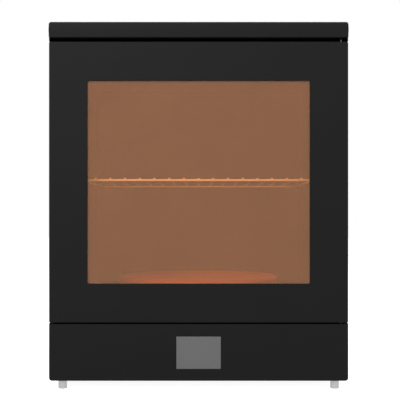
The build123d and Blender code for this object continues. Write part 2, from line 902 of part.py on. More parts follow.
# Reed sensor: tells the controller that the door is shut; it sits behind the bezel beside the chamber
with BuildPart() as reed_sensor:
    block(
        (-wall_outer_x - seat_clearance - sensor_width, -wall_outer_x - seat_clearance),
        (bezel_rear_y, bezel_rear_y + sensor_width),
        (catch_levels[1] - sensor_length / 2, catch_levels[1] + sensor_length / 2),
    )
reed_sensor.part.label = "reed_sensor"
export_step(reed_sensor.part, "parts/reed_sensor.step")

# ---------------------------------------------------------------- turntable and its drive
# Disc: a shallow dish turned upside down, with a rounded shoulder and a skirt
with BuildPart() as turntable_disc:
    with BuildSketch(Plane.XY.offset(disc_top_z)):
        with Locations((0, turntable_y)):
            Circle(disc_radius)
    extrude(amount=-disc_height)
    fillet(turntable_disc.edges().group_by(Axis.Z)[-1], disc_edge_radius)
    with BuildSketch(Plane.XY.offset(disc_under_z)):
        with Locations((0, turntable_y)):
            Circle(disc_radius - disc_wall)
    extrude(amount=disc_wall - disc_height, mode=Mode.SUBTRACT)
    with Locations((0, turntable_y, disc_top_z)):
        with PolarLocations(hub_screw_circle, hub_screw_count):
            CounterSinkHole(
                screw_radius + screw_clearance,
                screw_head_radius + screw_clearance,
                depth=disc_wall,
                counter_sink_angle=90,
            )
turntable_disc.part.label = "turntable_disc"
export_step(turntable_disc.part, "parts/turntable_disc.step")

with BuildPart() as turntable_hub:
    with BuildSketch(Plane.XY.offset(hub_bottom_z)):
        with Locations((0, turntable_y)):
            Circle(hub_radius)
            Circle(shaft_radius, mode=Mode.SUBTRACT)
            with PolarLocations(hub_screw_circle, hub_screw_count):
                Circle(screw_radius + screw_clearance, mode=Mode.SUBTRACT)
    extrude(amount=hub_height)
turntable_hub.part.label = "turntable_hub"
export_step(turntable_hub.part, "parts/turntable_hub.step")

# Hub screws: flat heads that sit just under the disc's top, so that a model stands level on it
with BuildPart() as hub_screws:
    with Locations((0, turntable_y, disc_top_z - running_clearance)):
        with PolarLocations(hub_screw_circle, hub_screw_count):
            Cone(
                screw_radius,
                screw_head_radius,
                screw_head_radius - screw_radius,
                align=(Align.CENTER, Align.CENTER, Align.MAX),
            )
            Cylinder(
                screw_radius,
                screw_length,
                align=(Align.CENTER, Align.CENTER, Align.MAX),
            )
hub_screws.part.label = "hub_screws"
export_step(hub_screws.part, "parts/hub_screws.step")

with BuildPart() as turntable_shaft:
    post(0, turntable_y, (shaft_bottom_z, disc_under_z), shaft_radius)
turntable_shaft.part.label = "turntable_shaft"
export_step(turntable_shaft.part, "parts/turntable_shaft.step")

# Bearing housing: a flanged sleeve under the chamber floor, bored for two ball bearings
housing_length = 2 * bearing_width + bearing_spacing
housing_bottom_z = deck_bottom_z - housing_length
with BuildPart() as bearing_housing:
    post(0, turntable_y, (housing_bottom_z, deck_bottom_z), housing_radius)
    post(
        0,
        turntable_y,
        (deck_bottom_z - housing_flange, deck_bottom_z),
        housing_flange_radius,
    )
    post(0, turntable_y, (housing_bottom_z, deck_bottom_z), bearing_radius, mode=Mode.SUBTRACT)
bearing_housing.part.label = "bearing_housing"
export_step(bearing_housing.part, "parts/bearing_housing.step")

with BuildPart() as turntable_bearings:
    for low_z in (housing_bottom_z, deck_bottom_z - bearing_width):
        post(0, turntable_y, (low_z, low_z + bearing_width), bearing_radius)
        post(
            0,
            turntable_y,
            (low_z, low_z + bearing_width),
            shaft_radius + running_clearance,
            mode=Mode.SUBTRACT,
        )
turntable_bearings.part.label = "turntable_bearings"
export_step(turntable_bearings.part, "parts/turntable_bearings.step")

# Coupling: a sleeve that joins the shaft's lower end to the motor's output shaft
coupling_top_z = shaft_bottom_z + coupling_length / 2
coupling_bottom_z = shaft_bottom_z - coupling_length / 2
with BuildPart() as shaft_coupling:
    post(0, turntable_y, (coupling_bottom_z, coupling_top_z), coupling_radius)
    post(
        0,
        turntable_y,
        (shaft_bottom_z, coupling_top_z),
        shaft_radius,
        mode=Mode.SUBTRACT,
    )
    post(
        0,
        turntable_y,
        (coupling_bottom_z, shaft_bottom_z),
        motor_shaft_radius,
        mode=Mode.SUBTRACT,
    )
shaft_coupling.part.label = "shaft_coupling"
export_step(shaft_coupling.part, "parts/shaft_coupling.step")

motor_top_z = shaft_bottom_z - motor_shaft_length
with BuildPart() as motor_shaft:
    post(0, turntable_y, (motor_top_z, shaft_bottom_z), motor_shaft_radius)
motor_shaft.part.label = "motor_shaft"
export_step(motor_shaft.part, "parts/motor_shaft.step")

with BuildPart() as gear_motor:
    post(0, turntable_y, (motor_top_z - motor_length, motor_top_z), motor_radius)
gear_motor.part.label = "gear_motor"
export_step(gear_motor.part, "parts/gear_motor.step")

# Motor bracket: a hat section that hangs from the chamber floor and carries the motor by its face
bracket_profile_half = bracket_span / 2
with BuildPart() as motor_bracket:
    with BuildSketch(front_plane(turntable_y - bracket_depth / 2)):
        with Locations((0, (motor_top_z + deck_bottom_z) / 2)):
            Rectangle(bracket_span, deck_bottom_z - motor_top_z)
            Rectangle(
                bracket_span - 2 * bracket_plate,
                deck_bottom_z - motor_top_z,
                mode=Mode.SUBTRACT,
            )
        with Locations((0, motor_top_z + bracket_plate / 2)):
            Rectangle(bracket_span, bracket_plate)
        foot_x = bracket_profile_half + bracket_foot / 2
        with Locations(
            (-foot_x, deck_bottom_z - bracket_plate / 2),
            (foot_x, deck_bottom_z - bracket_plate / 2),
        ):
            Rectangle(bracket_foot, bracket_plate)
    extrude(amount=-bracket_depth)
    post(
        0,
        turntable_y,
        (motor_top_z, motor_top_z + bracket_plate),
        motor_shaft_radius + screw_clearance,
        mode=Mode.SUBTRACT,
    )
motor_bracket.part.label = "motor_bracket"
export_step(motor_bracket.part, "parts/motor_bracket.step")

# ---------------------------------------------------------------- electrics in the base
with BuildPart() as main_board:
    board_z = base_top_z + standoff_height
    block(
        (board_x - board_width / 2, board_x + board_width / 2),
        (board_y - board_depth / 2, board_y + board_depth / 2),
        (board_z, board_z + board_thickness),
    )
    for share in connector_shares:
        block(
            (
                board_x + share * board_width - connector_length / 2,
                board_x + share * board_width + connector_length / 2,
            ),
            (
                board_y + board_depth / 2 - connector_depth,
                board_y + board_depth / 2,
            ),
            (board_z + board_thickness, board_z + board_thickness + connector_height),
        )
    with Locations((board_x, board_y, board_z)):
        with GridLocations(
            board_width - 2 * standoff_inset,
            board_depth - 2 * standoff_inset,
            2,
            2,
        ):
            Hole(screw_radius)
main_board.part.label = "main_board"
export_step(main_board.part, "parts/main_board.step")

with BuildPart() as board_standoffs:
    with BuildSketch(Plane.XY.offset(base_top_z)):
        with Locations((board_x, board_y)):
            with GridLocations(
                board_width - 2 * standoff_inset,
                board_depth - 2 * standoff_inset,
                2,
                2,
            ):
                Circle(standoff_radius)
    extrude(amount=standoff_height)
board_standoffs.part.label = "board_standoffs"
export_step(board_standoffs.part, "parts/board_standoffs.step")

with BuildPart() as power_supply:
    block(
        (supply_x - supply_width / 2, supply_x + supply_width / 2),
        (supply_y - supply_depth / 2, supply_y + supply_depth / 2),
        (base_top_z, base_top_z + supply_height),
    )
power_supply.part.label = "power_supply"
export_step(power_supply.part, "parts/power_supply.step")

# Fan: square frame with a stator hub on struts, a bladed rotor with its spindle, and a guard outside
fan_inner_y = rear_inner_y - fan_depth
stator_rear_y = fan_inner_y + fan_strut
with BuildPart() as fan_frame:
    with BuildSketch(front_plane(fan_inner_y)):
        with Locations((fan_x, rear_centre_z)):
            RectangleRounded(fan_size, fan_size, fan_corner_radius)
            Circle(fan_bore_radius, mode=Mode.SUBTRACT)
            with GridLocations(fan_hole_pitch, fan_hole_pitch, 2, 2):
                Circle(screw_radius + screw_clearance, mode=Mode.SUBTRACT)
    extrude(amount=-fan_depth)
    with BuildSketch(front_plane(fan_inner_y)):
        with Locations((fan_x, rear_centre_z)):
            Rectangle(2 * fan_bore_radius + sheet, fan_strut)
            Rectangle(fan_strut, 2 * fan_bore_radius + sheet)
            Circle(fan_hub_radius)
            Circle(fan_spindle_radius + running_clearance, mode=Mode.SUBTRACT)
    extrude(amount=-fan_strut)
fan_frame.part.label = "fan_frame"
export_step(fan_frame.part, "parts/fan_frame.step")

blade_root_y = stator_rear_y + fan_strut / 2
blade_tip_radius = fan_bore_radius - blade_tip_gap
rotor_rear_y = rear_inner_y - fan_strut
rotor_middle_y = (blade_root_y + rotor_rear_y) / 2
with BuildPart() as fan_rotor:
    stud(fan_x, rear_centre_z, (blade_root_y, rotor_rear_y), fan_hub_radius)
    stud(fan_x, rear_centre_z, (fan_inner_y, blade_root_y), fan_spindle_radius)
    for turn in range(blade_count):
        spoke = Plane(
            Location((fan_x, rotor_middle_y, rear_centre_z))
            * Rot(0, turn * 360 / blade_count, 0)
            * Rot(0, 0, blade_pitch_deg)
        ).offset(fan_hub_radius - sheet)
        with BuildSketch(spoke):
            Rectangle(blade_thickness, blade_chord)
        extrude(amount=blade_tip_radius - fan_hub_radius + sheet)
fan_rotor.part.label = "fan_rotor"
export_step(fan_rotor.part, "parts/fan_rotor.step")

with BuildPart() as fan_guard:
    guard_spoke = 2**0.5 * fan_hole_pitch
    with BuildSketch(front_plane(rear_face_y)):
        with Locations((fan_x, rear_centre_z)):
            Rectangle(guard_spoke, guard_ring_width, rotation=45)
            Rectangle(guard_spoke, guard_ring_width, rotation=-45)
            with GridLocations(fan_hole_pitch, fan_hole_pitch, 2, 2):
                Circle(screw_head_radius)
            with GridLocations(fan_hole_pitch, fan_hole_pitch, 2, 2):
                Circle(screw_radius + screw_clearance, mode=Mode.SUBTRACT)
    extrude(amount=-guard_depth / 2)
    with BuildSketch(front_plane(rear_face_y + guard_depth / 2)):
        with Locations((fan_x, rear_centre_z)):
            for ring in range(guard_ring_count):
                ring_radius = fan_bore_radius - ring * guard_ring_pitch
                Circle(ring_radius)
                Circle(ring_radius - guard_ring_width, mode=Mode.SUBTRACT)
    extrude(amount=-guard_depth / 2)
fan_guard.part.label = "fan_guard"
export_step(fan_guard.part, "parts/fan_guard.step")

guard_seat_y = rear_face_y + guard_depth / 2
with BuildPart() as fan_screws:
    with BuildSketch(front_plane(guard_seat_y)):
        with Locations((fan_x, rear_centre_z)):
            with GridLocations(fan_hole_pitch, fan_hole_pitch, 2, 2):
                Circle(screw_head_radius)
    extrude(amount=-screw_head_height)
    with BuildSketch(front_plane(guard_seat_y)):
        with Locations((fan_x, rear_centre_z)):
            with GridLocations(fan_hole_pitch, fan_hole_pitch, 2, 2):
                Circle(screw_radius)
    extrude(amount=fan_screw_length)
fan_screws.part.label = "fan_screws"
export_step(fan_screws.part, "parts/fan_screws.step")

# Mains inlet: a flanged socket with three blades
socket_floor_y = rear_face_y + inlet_flange - socket_depth
with BuildPart() as power_inlet:
    with BuildSketch(front_plane(rear_face_y)):
        with Locations((inlet_x, rear_centre_z)):
            Rectangle(inlet_flange_width, inlet_flange_height)
    extrude(amount=-inlet_flange)
    fillet(power_inlet.edges().filter_by(Axis.Y), inlet_corner_radius)
    block(
        (inlet_x - inlet_body_width / 2, inlet_x + inlet_body_width / 2),
        (rear_face_y - inlet_body_depth, rear_face_y),
        (rear_centre_z - inlet_body_height / 2, rear_centre_z + inlet_body_height / 2),
    )
    block(
        (inlet_x - socket_width / 2, inlet_x + socket_width / 2),
        (socket_floor_y, rear_face_y + inlet_flange),
        (rear_centre_z - socket_height / 2, rear_centre_z + socket_height / 2),
        mode=Mode.SUBTRACT,
    )
power_inlet.part.label = "power_inlet"
export_step(power_inlet.part, "parts/power_inlet.step")

with BuildPart() as inlet_pins:
    for across, up in ((-1, -1), (1, -1), (0, 1)):
        pin_centre_x = inlet_x + across * inlet_pin_spread
        pin_centre_z = rear_centre_z + up * inlet_pin_height / 2
        block(
            (pin_centre_x - inlet_pin_width / 2, pin_centre_x + inlet_pin_width / 2),
            (socket_floor_y, socket_floor_y + inlet_pin_length),
            (pin_centre_z - inlet_pin_height / 2, pin_centre_z + inlet_pin_height / 2),
        )
inlet_pins.part.label = "inlet_pins"
export_step(inlet_pins.part, "parts/inlet_pins.step")

# Mains switch: a rimmed housing with a rocker that tips about a cross pin of its own
switch_inner_width = rocker_width + 2 * rocker_clearance
switch_inner_height = rocker_height + 2 * rocker_swing
switch_body_width = switch_width - 2 * switch_rim
switch_body_height = switch_height - 2 * switch_rim
rocker_axis_y = rear_face_y - rocker_axis_depth
with BuildPart() as switch_housing:
    block(
        (switch_x - switch_width / 2, switch_x + switch_width / 2),
        (rear_face_y, rear_face_y + switch_rim),
        (rear_centre_z - switch_height / 2, rear_centre_z + switch_height / 2),
    )
    block(
        (switch_x - switch_body_width / 2, switch_x + switch_body_width / 2),
        (rear_face_y - switch_depth, rear_face_y),
        (rear_centre_z - switch_body_height / 2, rear_centre_z + switch_body_height / 2),
    )
    block(
        (switch_x - switch_inner_width / 2, switch_x + switch_inner_width / 2),
        (rear_face_y - switch_depth + switch_rim, rear_face_y + switch_rim),
        (rear_centre_z - switch_inner_height / 2, rear_centre_z + switch_inner_height / 2),
        mode=Mode.SUBTRACT,
    )
    with BuildSketch(Plane.YZ.offset(switch_x - switch_body_width / 2)):
        with Locations((rocker_axis_y, rear_centre_z)):
            Circle(rocker_pivot_radius + running_clearance)
    extrude(amount=switch_body_width, mode=Mode.SUBTRACT)
switch_housing.part.label = "switch_housing"
export_step(switch_housing.part, "parts/switch_housing.step")

with BuildPart() as power_rocker:
    rocker_plane = Plane(
        Location((switch_x - rocker_width / 2, rocker_axis_y, rear_centre_z))
        * Rot(-rocker_tilt_deg, 0, 0)
        * Plane.YZ.location
    )
    with BuildSketch(rocker_plane):
        with Locations((rocker_thickness / 2, 0)):
            Rectangle(rocker_thickness, rocker_height)
        Circle(2 * rocker_pivot_radius)
    extrude(amount=rocker_width)
    with BuildSketch(Plane.YZ.offset(switch_x - switch_body_width / 2)):
        with Locations((rocker_axis_y, rear_centre_z)):
            Circle(rocker_pivot_radius)
    extrude(amount=switch_body_width)
power_rocker.part.label = "power_rocker"
export_step(power_rocker.part, "parts/power_rocker.step")
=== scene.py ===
"""Looks of a benchtop light curing cabinet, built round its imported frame.

Lengths are in metres. X runs to the right of a person who faces the door, the door faces -Y and Z is up.
Each sub-assembly is a class whose fields are its own sizes; places come from the frame's nodes.
"""

import logging
import math
from collections.abc import Iterator
from contextlib import contextmanager
from dataclasses import dataclass
from enum import Enum

import bmesh
import bpy
import numpy as np
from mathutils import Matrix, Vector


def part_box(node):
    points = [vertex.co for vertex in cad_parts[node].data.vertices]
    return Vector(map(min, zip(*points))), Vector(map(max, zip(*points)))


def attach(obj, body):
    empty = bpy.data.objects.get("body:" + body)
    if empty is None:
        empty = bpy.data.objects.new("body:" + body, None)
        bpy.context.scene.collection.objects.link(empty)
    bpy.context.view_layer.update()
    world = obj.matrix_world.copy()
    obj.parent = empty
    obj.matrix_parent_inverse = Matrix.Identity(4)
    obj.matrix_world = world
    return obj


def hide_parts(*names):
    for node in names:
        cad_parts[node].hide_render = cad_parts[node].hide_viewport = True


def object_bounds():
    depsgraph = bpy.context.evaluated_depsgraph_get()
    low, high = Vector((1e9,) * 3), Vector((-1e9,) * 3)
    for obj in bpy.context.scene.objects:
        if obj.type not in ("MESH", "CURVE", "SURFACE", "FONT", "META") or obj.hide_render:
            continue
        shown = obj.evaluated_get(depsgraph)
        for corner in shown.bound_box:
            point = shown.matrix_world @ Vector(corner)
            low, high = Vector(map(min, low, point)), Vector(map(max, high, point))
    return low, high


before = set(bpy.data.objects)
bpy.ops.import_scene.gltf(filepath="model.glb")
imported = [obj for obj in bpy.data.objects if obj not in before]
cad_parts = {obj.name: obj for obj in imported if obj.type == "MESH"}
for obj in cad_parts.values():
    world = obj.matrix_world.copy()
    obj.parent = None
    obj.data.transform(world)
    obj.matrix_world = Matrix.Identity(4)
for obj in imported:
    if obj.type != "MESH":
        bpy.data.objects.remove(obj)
CAD_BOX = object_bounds()

LOG = logging.getLogger("curing_cabinet")
MM = 0.001
MERGE_DISTANCE = 1e-6
NO_LENGTH = 1e-12
CORNER_STEPS = 8
PLACE_DIGITS = 4
SINE_DIGITS = 6
WAVE_RADIANS = 20
QUARTER_TURN = math.pi / 2
UPWARD = np.array([0.0, 0.0, 1.0])
OUTWARD = np.array([0.0, 1.0, 0.0])

Colour = tuple[float, float, float, float]
Span = tuple[float, float]
Point = tuple[float, float, float]


# ---------------------------------------------------------------- places read from the frame
class Facing(Enum):
    """The plane that a closed outline lies in, and so the axis that its level runs along."""

    FRONT = (0, 2, 1)
    LEVEL = (0, 1, 2)
    SIDE = (1, 2, 0)

    @property
    def plane(self) -> list[int]:
        """The plane's two axes, across and up."""
        return list(self.value[:2])

    @property
    def normal(self) -> int:
        """The axis of the level."""
        return self.value[2]


@dataclass(frozen=True)
class Extent:
    """A box from its lowest to its highest corner."""

    low: np.ndarray
    high: np.ndarray

    @classmethod
    def of(cls, *nodes: str) -> "Extent":
        """Read the box that holds some CAD nodes."""
        corners = np.array([[list(corner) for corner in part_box(node)] for node in nodes])
        return cls(corners[:, 0].min(axis=0), corners[:, 1].max(axis=0))

    @property
    def centre(self) -> np.ndarray:
        """The box's middle."""
        return (self.low + self.high) / 2

    @property
    def half(self) -> np.ndarray:
        """Half of the box's size."""
        return (self.high - self.low) / 2

    def span(self, axis: int) -> Span:
        """Give the box's lowest and highest place along an axis."""
        return self.low[axis], self.high[axis]


@dataclass(frozen=True)
class Outline:
    """A rounded rectangle: its middle, its half sizes and its corner radius, across and up."""

    centre: np.ndarray
    half: np.ndarray
    radius: float

    @classmethod
    def of(cls, extent: Extent, facing: Facing, radius: float = 0.0, margin: float = 0.0) -> "Outline":
        """Take a box's outline as it is seen along one axis, moved out by a margin."""
        return cls(extent.centre[facing.plane], extent.half[facing.plane] + margin, radius)


# ---------------------------------------------------------------- surfaces as arrays of points
def unit(vectors: np.ndarray) -> np.ndarray:
    """Scale vectors to length one, leaving those without length alone."""
    length = np.linalg.norm(vectors, axis=-1, keepdims=True)
    return vectors / np.where(length < NO_LENGTH, 1.0, length)


def circle(sides: int) -> np.ndarray:
    """Give the angles of a circle's points."""
    return np.linspace(0.0, 2 * math.pi, sides, endpoint=False)


def polar(radius: np.ndarray | float, angle: np.ndarray) -> np.ndarray:
    """Give the points of a plane at some radii and angles."""
    return np.stack([radius * np.cos(angle), radius * np.sin(angle)], axis=-1)


def oval(radius: float, base: float, height: float, angle: np.ndarray) -> np.ndarray:
    """Give an oval's (radius, level) pairs, at angles up from the level of its base."""
    return np.stack([radius * np.cos(angle), base + height * np.sin(angle)], axis=-1)


def rotated(flat: np.ndarray, angle: float) -> np.ndarray:
    """Turn points of a plane about its origin, from across towards up."""
    cosine, sine = math.cos(angle), math.sin(angle)
    return flat @ np.array([[cosine, sine], [-sine, cosine]])


def soften(corners: list[Span], radii: list[float], steps: int = 5) -> np.ndarray:
    """Round the corners of an open polyline with true arcs.

    A corner's arc is a rational quadratic through its two tangent points, whose middle weight is the cosine
    of half the turn. The tangent points lie radius times the tangent of half the turn from the corner.

    Args:
        corners: the polyline's points.
        radii: one radius for each point; the first and the last are passed as they are.
        steps: how many chords each arc has.

    Returns:
        The rounded polyline, steps + 1 points for each corner.
    """
    points = np.array(corners, float)
    into = unit(points - np.roll(points, 1, axis=0))
    out = unit(np.roll(points, -1, axis=0) - points)
    turn = np.arccos(np.clip((into * out).sum(axis=1), -1.0, 1.0))
    turn[[0, -1]] = 0.0
    reach = (np.array(radii) * np.tan(turn / 2))[:, None]
    first, last = points - reach * into, points + reach * out
    share = np.linspace(0.0, 1.0, steps + 1)[None, :, None]
    weight = np.cos(turn / 2)[:, None, None]
    parts = ((1 - share) ** 2, 2 * weight * share * (1 - share), share**2)
    blend = parts[0] * first[:, None] + parts[1] * points[:, None] + parts[2] * last[:, None]
    return (blend / (parts[0] + parts[1] + parts[2])).reshape(-1, 2)


def looped(corners: list[Span], radii: list[float], steps: int = 5) -> np.ndarray:
    """Round the corners of a closed outline, which then starts halfway along its last side.

    Args:
        corners: the outline's points.
        radii: one radius for each point.
        steps: how many chords each arc has.

    Returns:
        The rounded outline, without a point for its end.
    """
    start = tuple(np.mean([corners[-1], corners[0]], axis=0))
    return soften([start, *corners, start], [0, *radii, 0], steps)[:-1]


def stand(flat: np.ndarray, level: np.ndarray, facing: Facing) -> np.ndarray:
    """Stand points of a plane up in space.

    Args:
        flat: points across and up the plane, in the last axis.
        level: each point's place along the plane's normal.
        facing: the plane.

    Returns:
        The points in space.
    """
    points = np.empty(flat.shape[:-1] + (3,))
    points[..., facing.plane] = flat
    points[..., facing.normal] = level
    return points


def carried(outline: Outline, run: np.ndarray, facing: Facing, steps: int = CORNER_STEPS) -> np.ndarray:
    """Carry a section round a rounded rectangle.

    Each (inset, level) pair of the section gives one ring: the outline moved in by the inset, at that level.
    A ring's corner is a quarter circle, whose centre stands in from both sides by the ring's radius.

    Args:
        outline: the rounded rectangle.
        run: (inset, level) pairs.
        facing: the outline's plane.
        steps: how many chords each corner has; a sharp corner needs none.

    Returns:
        A grid of points, one row for each pair.
    """
    half = np.maximum(outline.half - run[:, :1], 0.0)
    radius = np.clip(outline.radius - run[:, 0], 0.0, half.min(axis=1))[:, None, None]
    angle = np.arange(4)[:, None] * QUARTER_TURN + np.linspace(0.0, QUARTER_TURN, steps + 1)
    side_across = np.array([1, -1, -1, 1])[:, None]
    side_up = np.array([1, 1, -1, -1])[:, None]
    across = side_across * (half[:, 0, None, None] - radius) + radius * np.cos(angle)
    up = side_up * (half[:, 1, None, None] - radius) + radius * np.sin(angle)
    flat = np.stack([across, up], axis=-1).reshape(len(run), -1, 2) + outline.centre
    return stand(flat, run[:, 1:], facing)


def plate(outline: Outline, levels: Span, edges: Span, facing: Facing, steps: int = 5) -> np.ndarray:
    """Work out a closed plate: its outline carried between two levels, with an arc at each edge.

    Args:
        outline: the plate's outline.
        levels: where its two faces lie.
        edges: the arc's radius at each face.
        facing: the outline's plane.
        steps: how many chords each arc has.

    Returns:
        A grid of points.
    """
    middle = outline.half.max()
    corners = [(middle, levels[0]), (0.0, levels[0]), (0.0, levels[1]), (middle, levels[1])]
    return carried(outline, soften(corners, [0, *edges, 0], steps), facing)


def turned(run: np.ndarray, centre: np.ndarray, facing: Facing, sides: int = 48) -> np.ndarray:
    """Turn a section on a lathe: each (radius, level) pair of the section gives one circle.

    Args:
        run: (radius, level) pairs.
        centre: any point on the axis.
        facing: the circles' plane.
        sides: how many points each circle has.

    Returns:
        A grid of points, one row for each pair.
    """
    return stand(polar(run[:, :1], circle(sides)) + centre[facing.plane], run[:, 1:], facing)


def post(box: Extent, facing: Facing, edges: Span, steps: int = 5, sides: int = 48) -> np.ndarray:
    """Turn a plain post that fills a box, with an arc at each end's edge.

    Args:
        box: the box.
        facing: the plane of the post's ends.
        edges: the arc's radius at its low and its high end.
        steps: how many chords each arc has.
        sides: how many points each circle has.

    Returns:
        A grid of points.
    """
    radius, (low, high) = box.half[facing.plane[0]], box.span(facing.normal)
    corners = [(0.0, low), (radius, low), (radius, high), (0.0, high)]
    return turned(soften(corners, [0, *edges, 0], steps), box.centre, facing, sides)


def drawn(
    path: np.ndarray, radius: np.ndarray | float, up: np.ndarray, sides: int = 16, closed: bool = True
) -> np.ndarray:
    """Draw a round wire along a path.

    At each point of the path stands a circle across the path's direction, which is the mean of the two
    chords that meet there. One axis of the circle is as near to the given upward direction as it can be.

    Args:
        path: the wire's centre line.
        radius: the wire's radius, or one for each point of the path.
        up: a direction that the path never takes.
        sides: how many points each circle has.
        closed: whether the path's end joins its start.

    Returns:
        A grid of points, one row for each point of the path.
    """
    chords = np.roll(path, -1, axis=0) - np.roll(path, 1, axis=0) if closed else np.gradient(path, axis=0)
    along = unit(chords)
    side = unit(np.cross(along, up))
    top = np.cross(side, along)
    angle = circle(sides)[None, :, None]
    ring = side[:, None] * np.cos(angle) + top[:, None] * np.sin(angle)
    return path[:, None] + ring * np.broadcast_to(radius, len(path))[:, None, None]


def rod(start: np.ndarray, end: np.ndarray, radius: float, up: np.ndarray, sides: int, steps: int = 5) -> np.ndarray:
    """Draw a straight wire whose two ends are half balls.

    Near an end the radius falls as the cosine of an angle while the place advances as its sine.

    Args:
        start: the tip of one end.
        end: the tip of the other end.
        radius: the wire's radius.
        up: a direction across the wire.
        sides: how many points each circle has.
        steps: how many rings each half ball has.

    Returns:
        A grid of points.
    """
    angle = np.linspace(QUARTER_TURN, 0.0, steps)
    near = radius * (1 - np.sin(angle))
    place = np.concatenate([near, np.linalg.norm(end - start) - near[::-1]])
    size = radius * np.cos(np.concatenate([angle, angle[::-1]]))
    return drawn(start + place[:, None] * unit(end - start), size, up, sides, closed=False)


# ---------------------------------------------------------------- from arrays to pieces
@contextmanager
def opened(mesh: bpy.types.Mesh) -> Iterator[bmesh.types.BMesh]:
    """Open a mesh for edits, and write them back at the end.

    Args:
        mesh: the mesh.

    Yields:
        The open mesh.
    """
    book = bmesh.new()
    book.from_mesh(mesh)
    yield book
    book.to_mesh(mesh)
    book.free()


def heal(mesh: bpy.types.Mesh, distance: float = MERGE_DISTANCE) -> None:
    """Merge a mesh's doubled points, drop its empty faces and turn the rest outwards.

    Args:
        mesh: the mesh.
        distance: how near two points are when they are one.
    """
    with opened(mesh) as book:
        bmesh.ops.remove_doubles(book, verts=book.verts, dist=distance)
        bmesh.ops.dissolve_degenerate(book, edges=book.edges, dist=distance / 2)
        bmesh.ops.recalc_face_normals(book, faces=book.faces)


class MeshDraft:
    """Gathers grids of points, each with its material, as one mesh."""

    def __init__(self, *grids: np.ndarray) -> None:
        """Start a draft.

        Args:
            grids: grids of the first material, each with rows that are loops.
        """
        self.points: list[np.ndarray] = []
        self.faces: list[np.ndarray] = []
        self.marks: list[np.ndarray] = []
        self.count = 0
        for grid in grids:
            self.add(grid)

    def add(self, grid: np.ndarray, loop_rows: bool = False, loop_columns: bool = True, mark: int = 0) -> None:
        """Add a grid of points, with one face between each four neighbours.

        Args:
            grid: rows and columns of points.
            loop_rows: whether the last row joins the first.
            loop_columns: whether the last column joins the first.
            mark: which of the piece's materials the faces take.
        """
        rows, columns = grid.shape[:2]
        index = np.arange(rows * columns).reshape(rows, columns) + self.count
        if loop_rows:
            index = np.vstack([index, index[:1]])
        if loop_columns:
            index = np.hstack([index, index[:, :1]])
        corners = (index[:-1, :-1], index[:-1, 1:], index[1:, 1:], index[1:, :-1])
        faces = np.stack(corners, axis=-1).reshape(-1, 4)
        self.points.append(grid.reshape(-1, 3))
        self.faces.append(faces)
        self.marks.append(np.full(len(faces), mark))
        self.count += rows * columns

    def mesh(self, name: str) -> bpy.types.Mesh:
        """Put the draft into a Blender mesh, with its doubles merged and its faces outwards.

        Args:
            name: the mesh's name.

        Returns:
            The mesh.
        """
        points, faces = np.concatenate(self.points), np.concatenate(self.faces)
        mesh = bpy.data.meshes.new(name)
        mesh.vertices.add(len(points))
        mesh.vertices.foreach_set("co", points.astype(np.float32).ravel())
        mesh.loops.add(faces.size)
        mesh.loops.foreach_set("vertex_index", faces.astype(np.int32).ravel())
        mesh.polygons.add(len(faces))
        mesh.polygons.foreach_set("loop_start", np.arange(0, faces.size, 4, dtype=np.int32))
        mesh.polygons.foreach_set("material_index", np.concatenate(self.marks).astype(np.int32))
        mesh.update(calc_edges=True)
        heal(mesh)
        return mesh


def enter(name: str, data: bpy.types.ID) -> bpy.types.Object:
    """Put an object with some data into the scene.

    Args:
        name: the object's name.
        data: its mesh, lamp or camera.

    Returns:
        The object.
    """
    entered = bpy.data.objects.new(name, data)
    bpy.context.scene.collection.objects.link(entered)
    return entered


def shade(piece: bpy.types.Object, crease_degrees: float) -> None:
    """Smooth a piece's shading, except over edges that turn more than an angle.

    Args:
        piece: the piece.
        crease_degrees: the angle past which an edge stays sharp.
    """
    limit = math.radians(crease_degrees)
    with opened(piece.data) as book:
        for edge in book.edges:
            edge.smooth = len(edge.link_faces) == 2 and edge.calc_face_angle(0.0) < limit
        for face in book.faces:
            face.smooth = True
    flatten(piece)


def flatten(piece: bpy.types.Object, full_weight: int = 100) -> None:
    """Keep large faces flat in shading: a point's normal leans to its faces by their area."""
    weighting = piece.modifiers.new("flat_faces", "WEIGHTED_NORMAL")
    weighting.keep_sharp, weighting.weight = True, full_weight


def settle(piece: bpy.types.Object, body: str, finishes: list["Finish"], nodes: tuple[str, ...]) -> bpy.types.Object:
    """Give a new piece its finishes and its body, and the CAD nodes that it stands for.

    Args:
        piece: the piece, in place.
        body: the CAD body that carries it.
        finishes: the piece's finishes, in the order of its material slots.
        nodes: the CAD nodes that it replaces.

    Returns:
        The piece.
    """
    if piece.data.materials:
        piece.data.materials.clear()
    for finish in finishes:
        piece.data.materials.append(finish.material())
    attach(piece, body)
    if nodes:
        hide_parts(*nodes)
    LOG.info("%s: %s, on %s, stands for %s", piece.name, finishes[0].name, body, ", ".join(nodes) or "nothing")
    return piece


def publish(
    draft: MeshDraft, name: str, body: str, finishes: list["Finish"], *nodes: str, crease_degrees: float = 40.0
) -> bpy.types.Object:
    """Make a piece of the object from a draft.

    Args:
        draft: the gathered surfaces.
        name: the piece's name.
        body: the CAD body that carries it.
        finishes: its finishes, in the order of the draft's marks.
        nodes: the CAD nodes that it replaces.
        crease_degrees: the angle past which an edge shows sharp.

    Returns:
        The piece.
    """
    piece = enter(name, draft.mesh(name))
    shade(piece, crease_degrees)
    return settle(piece, body, finishes, nodes)


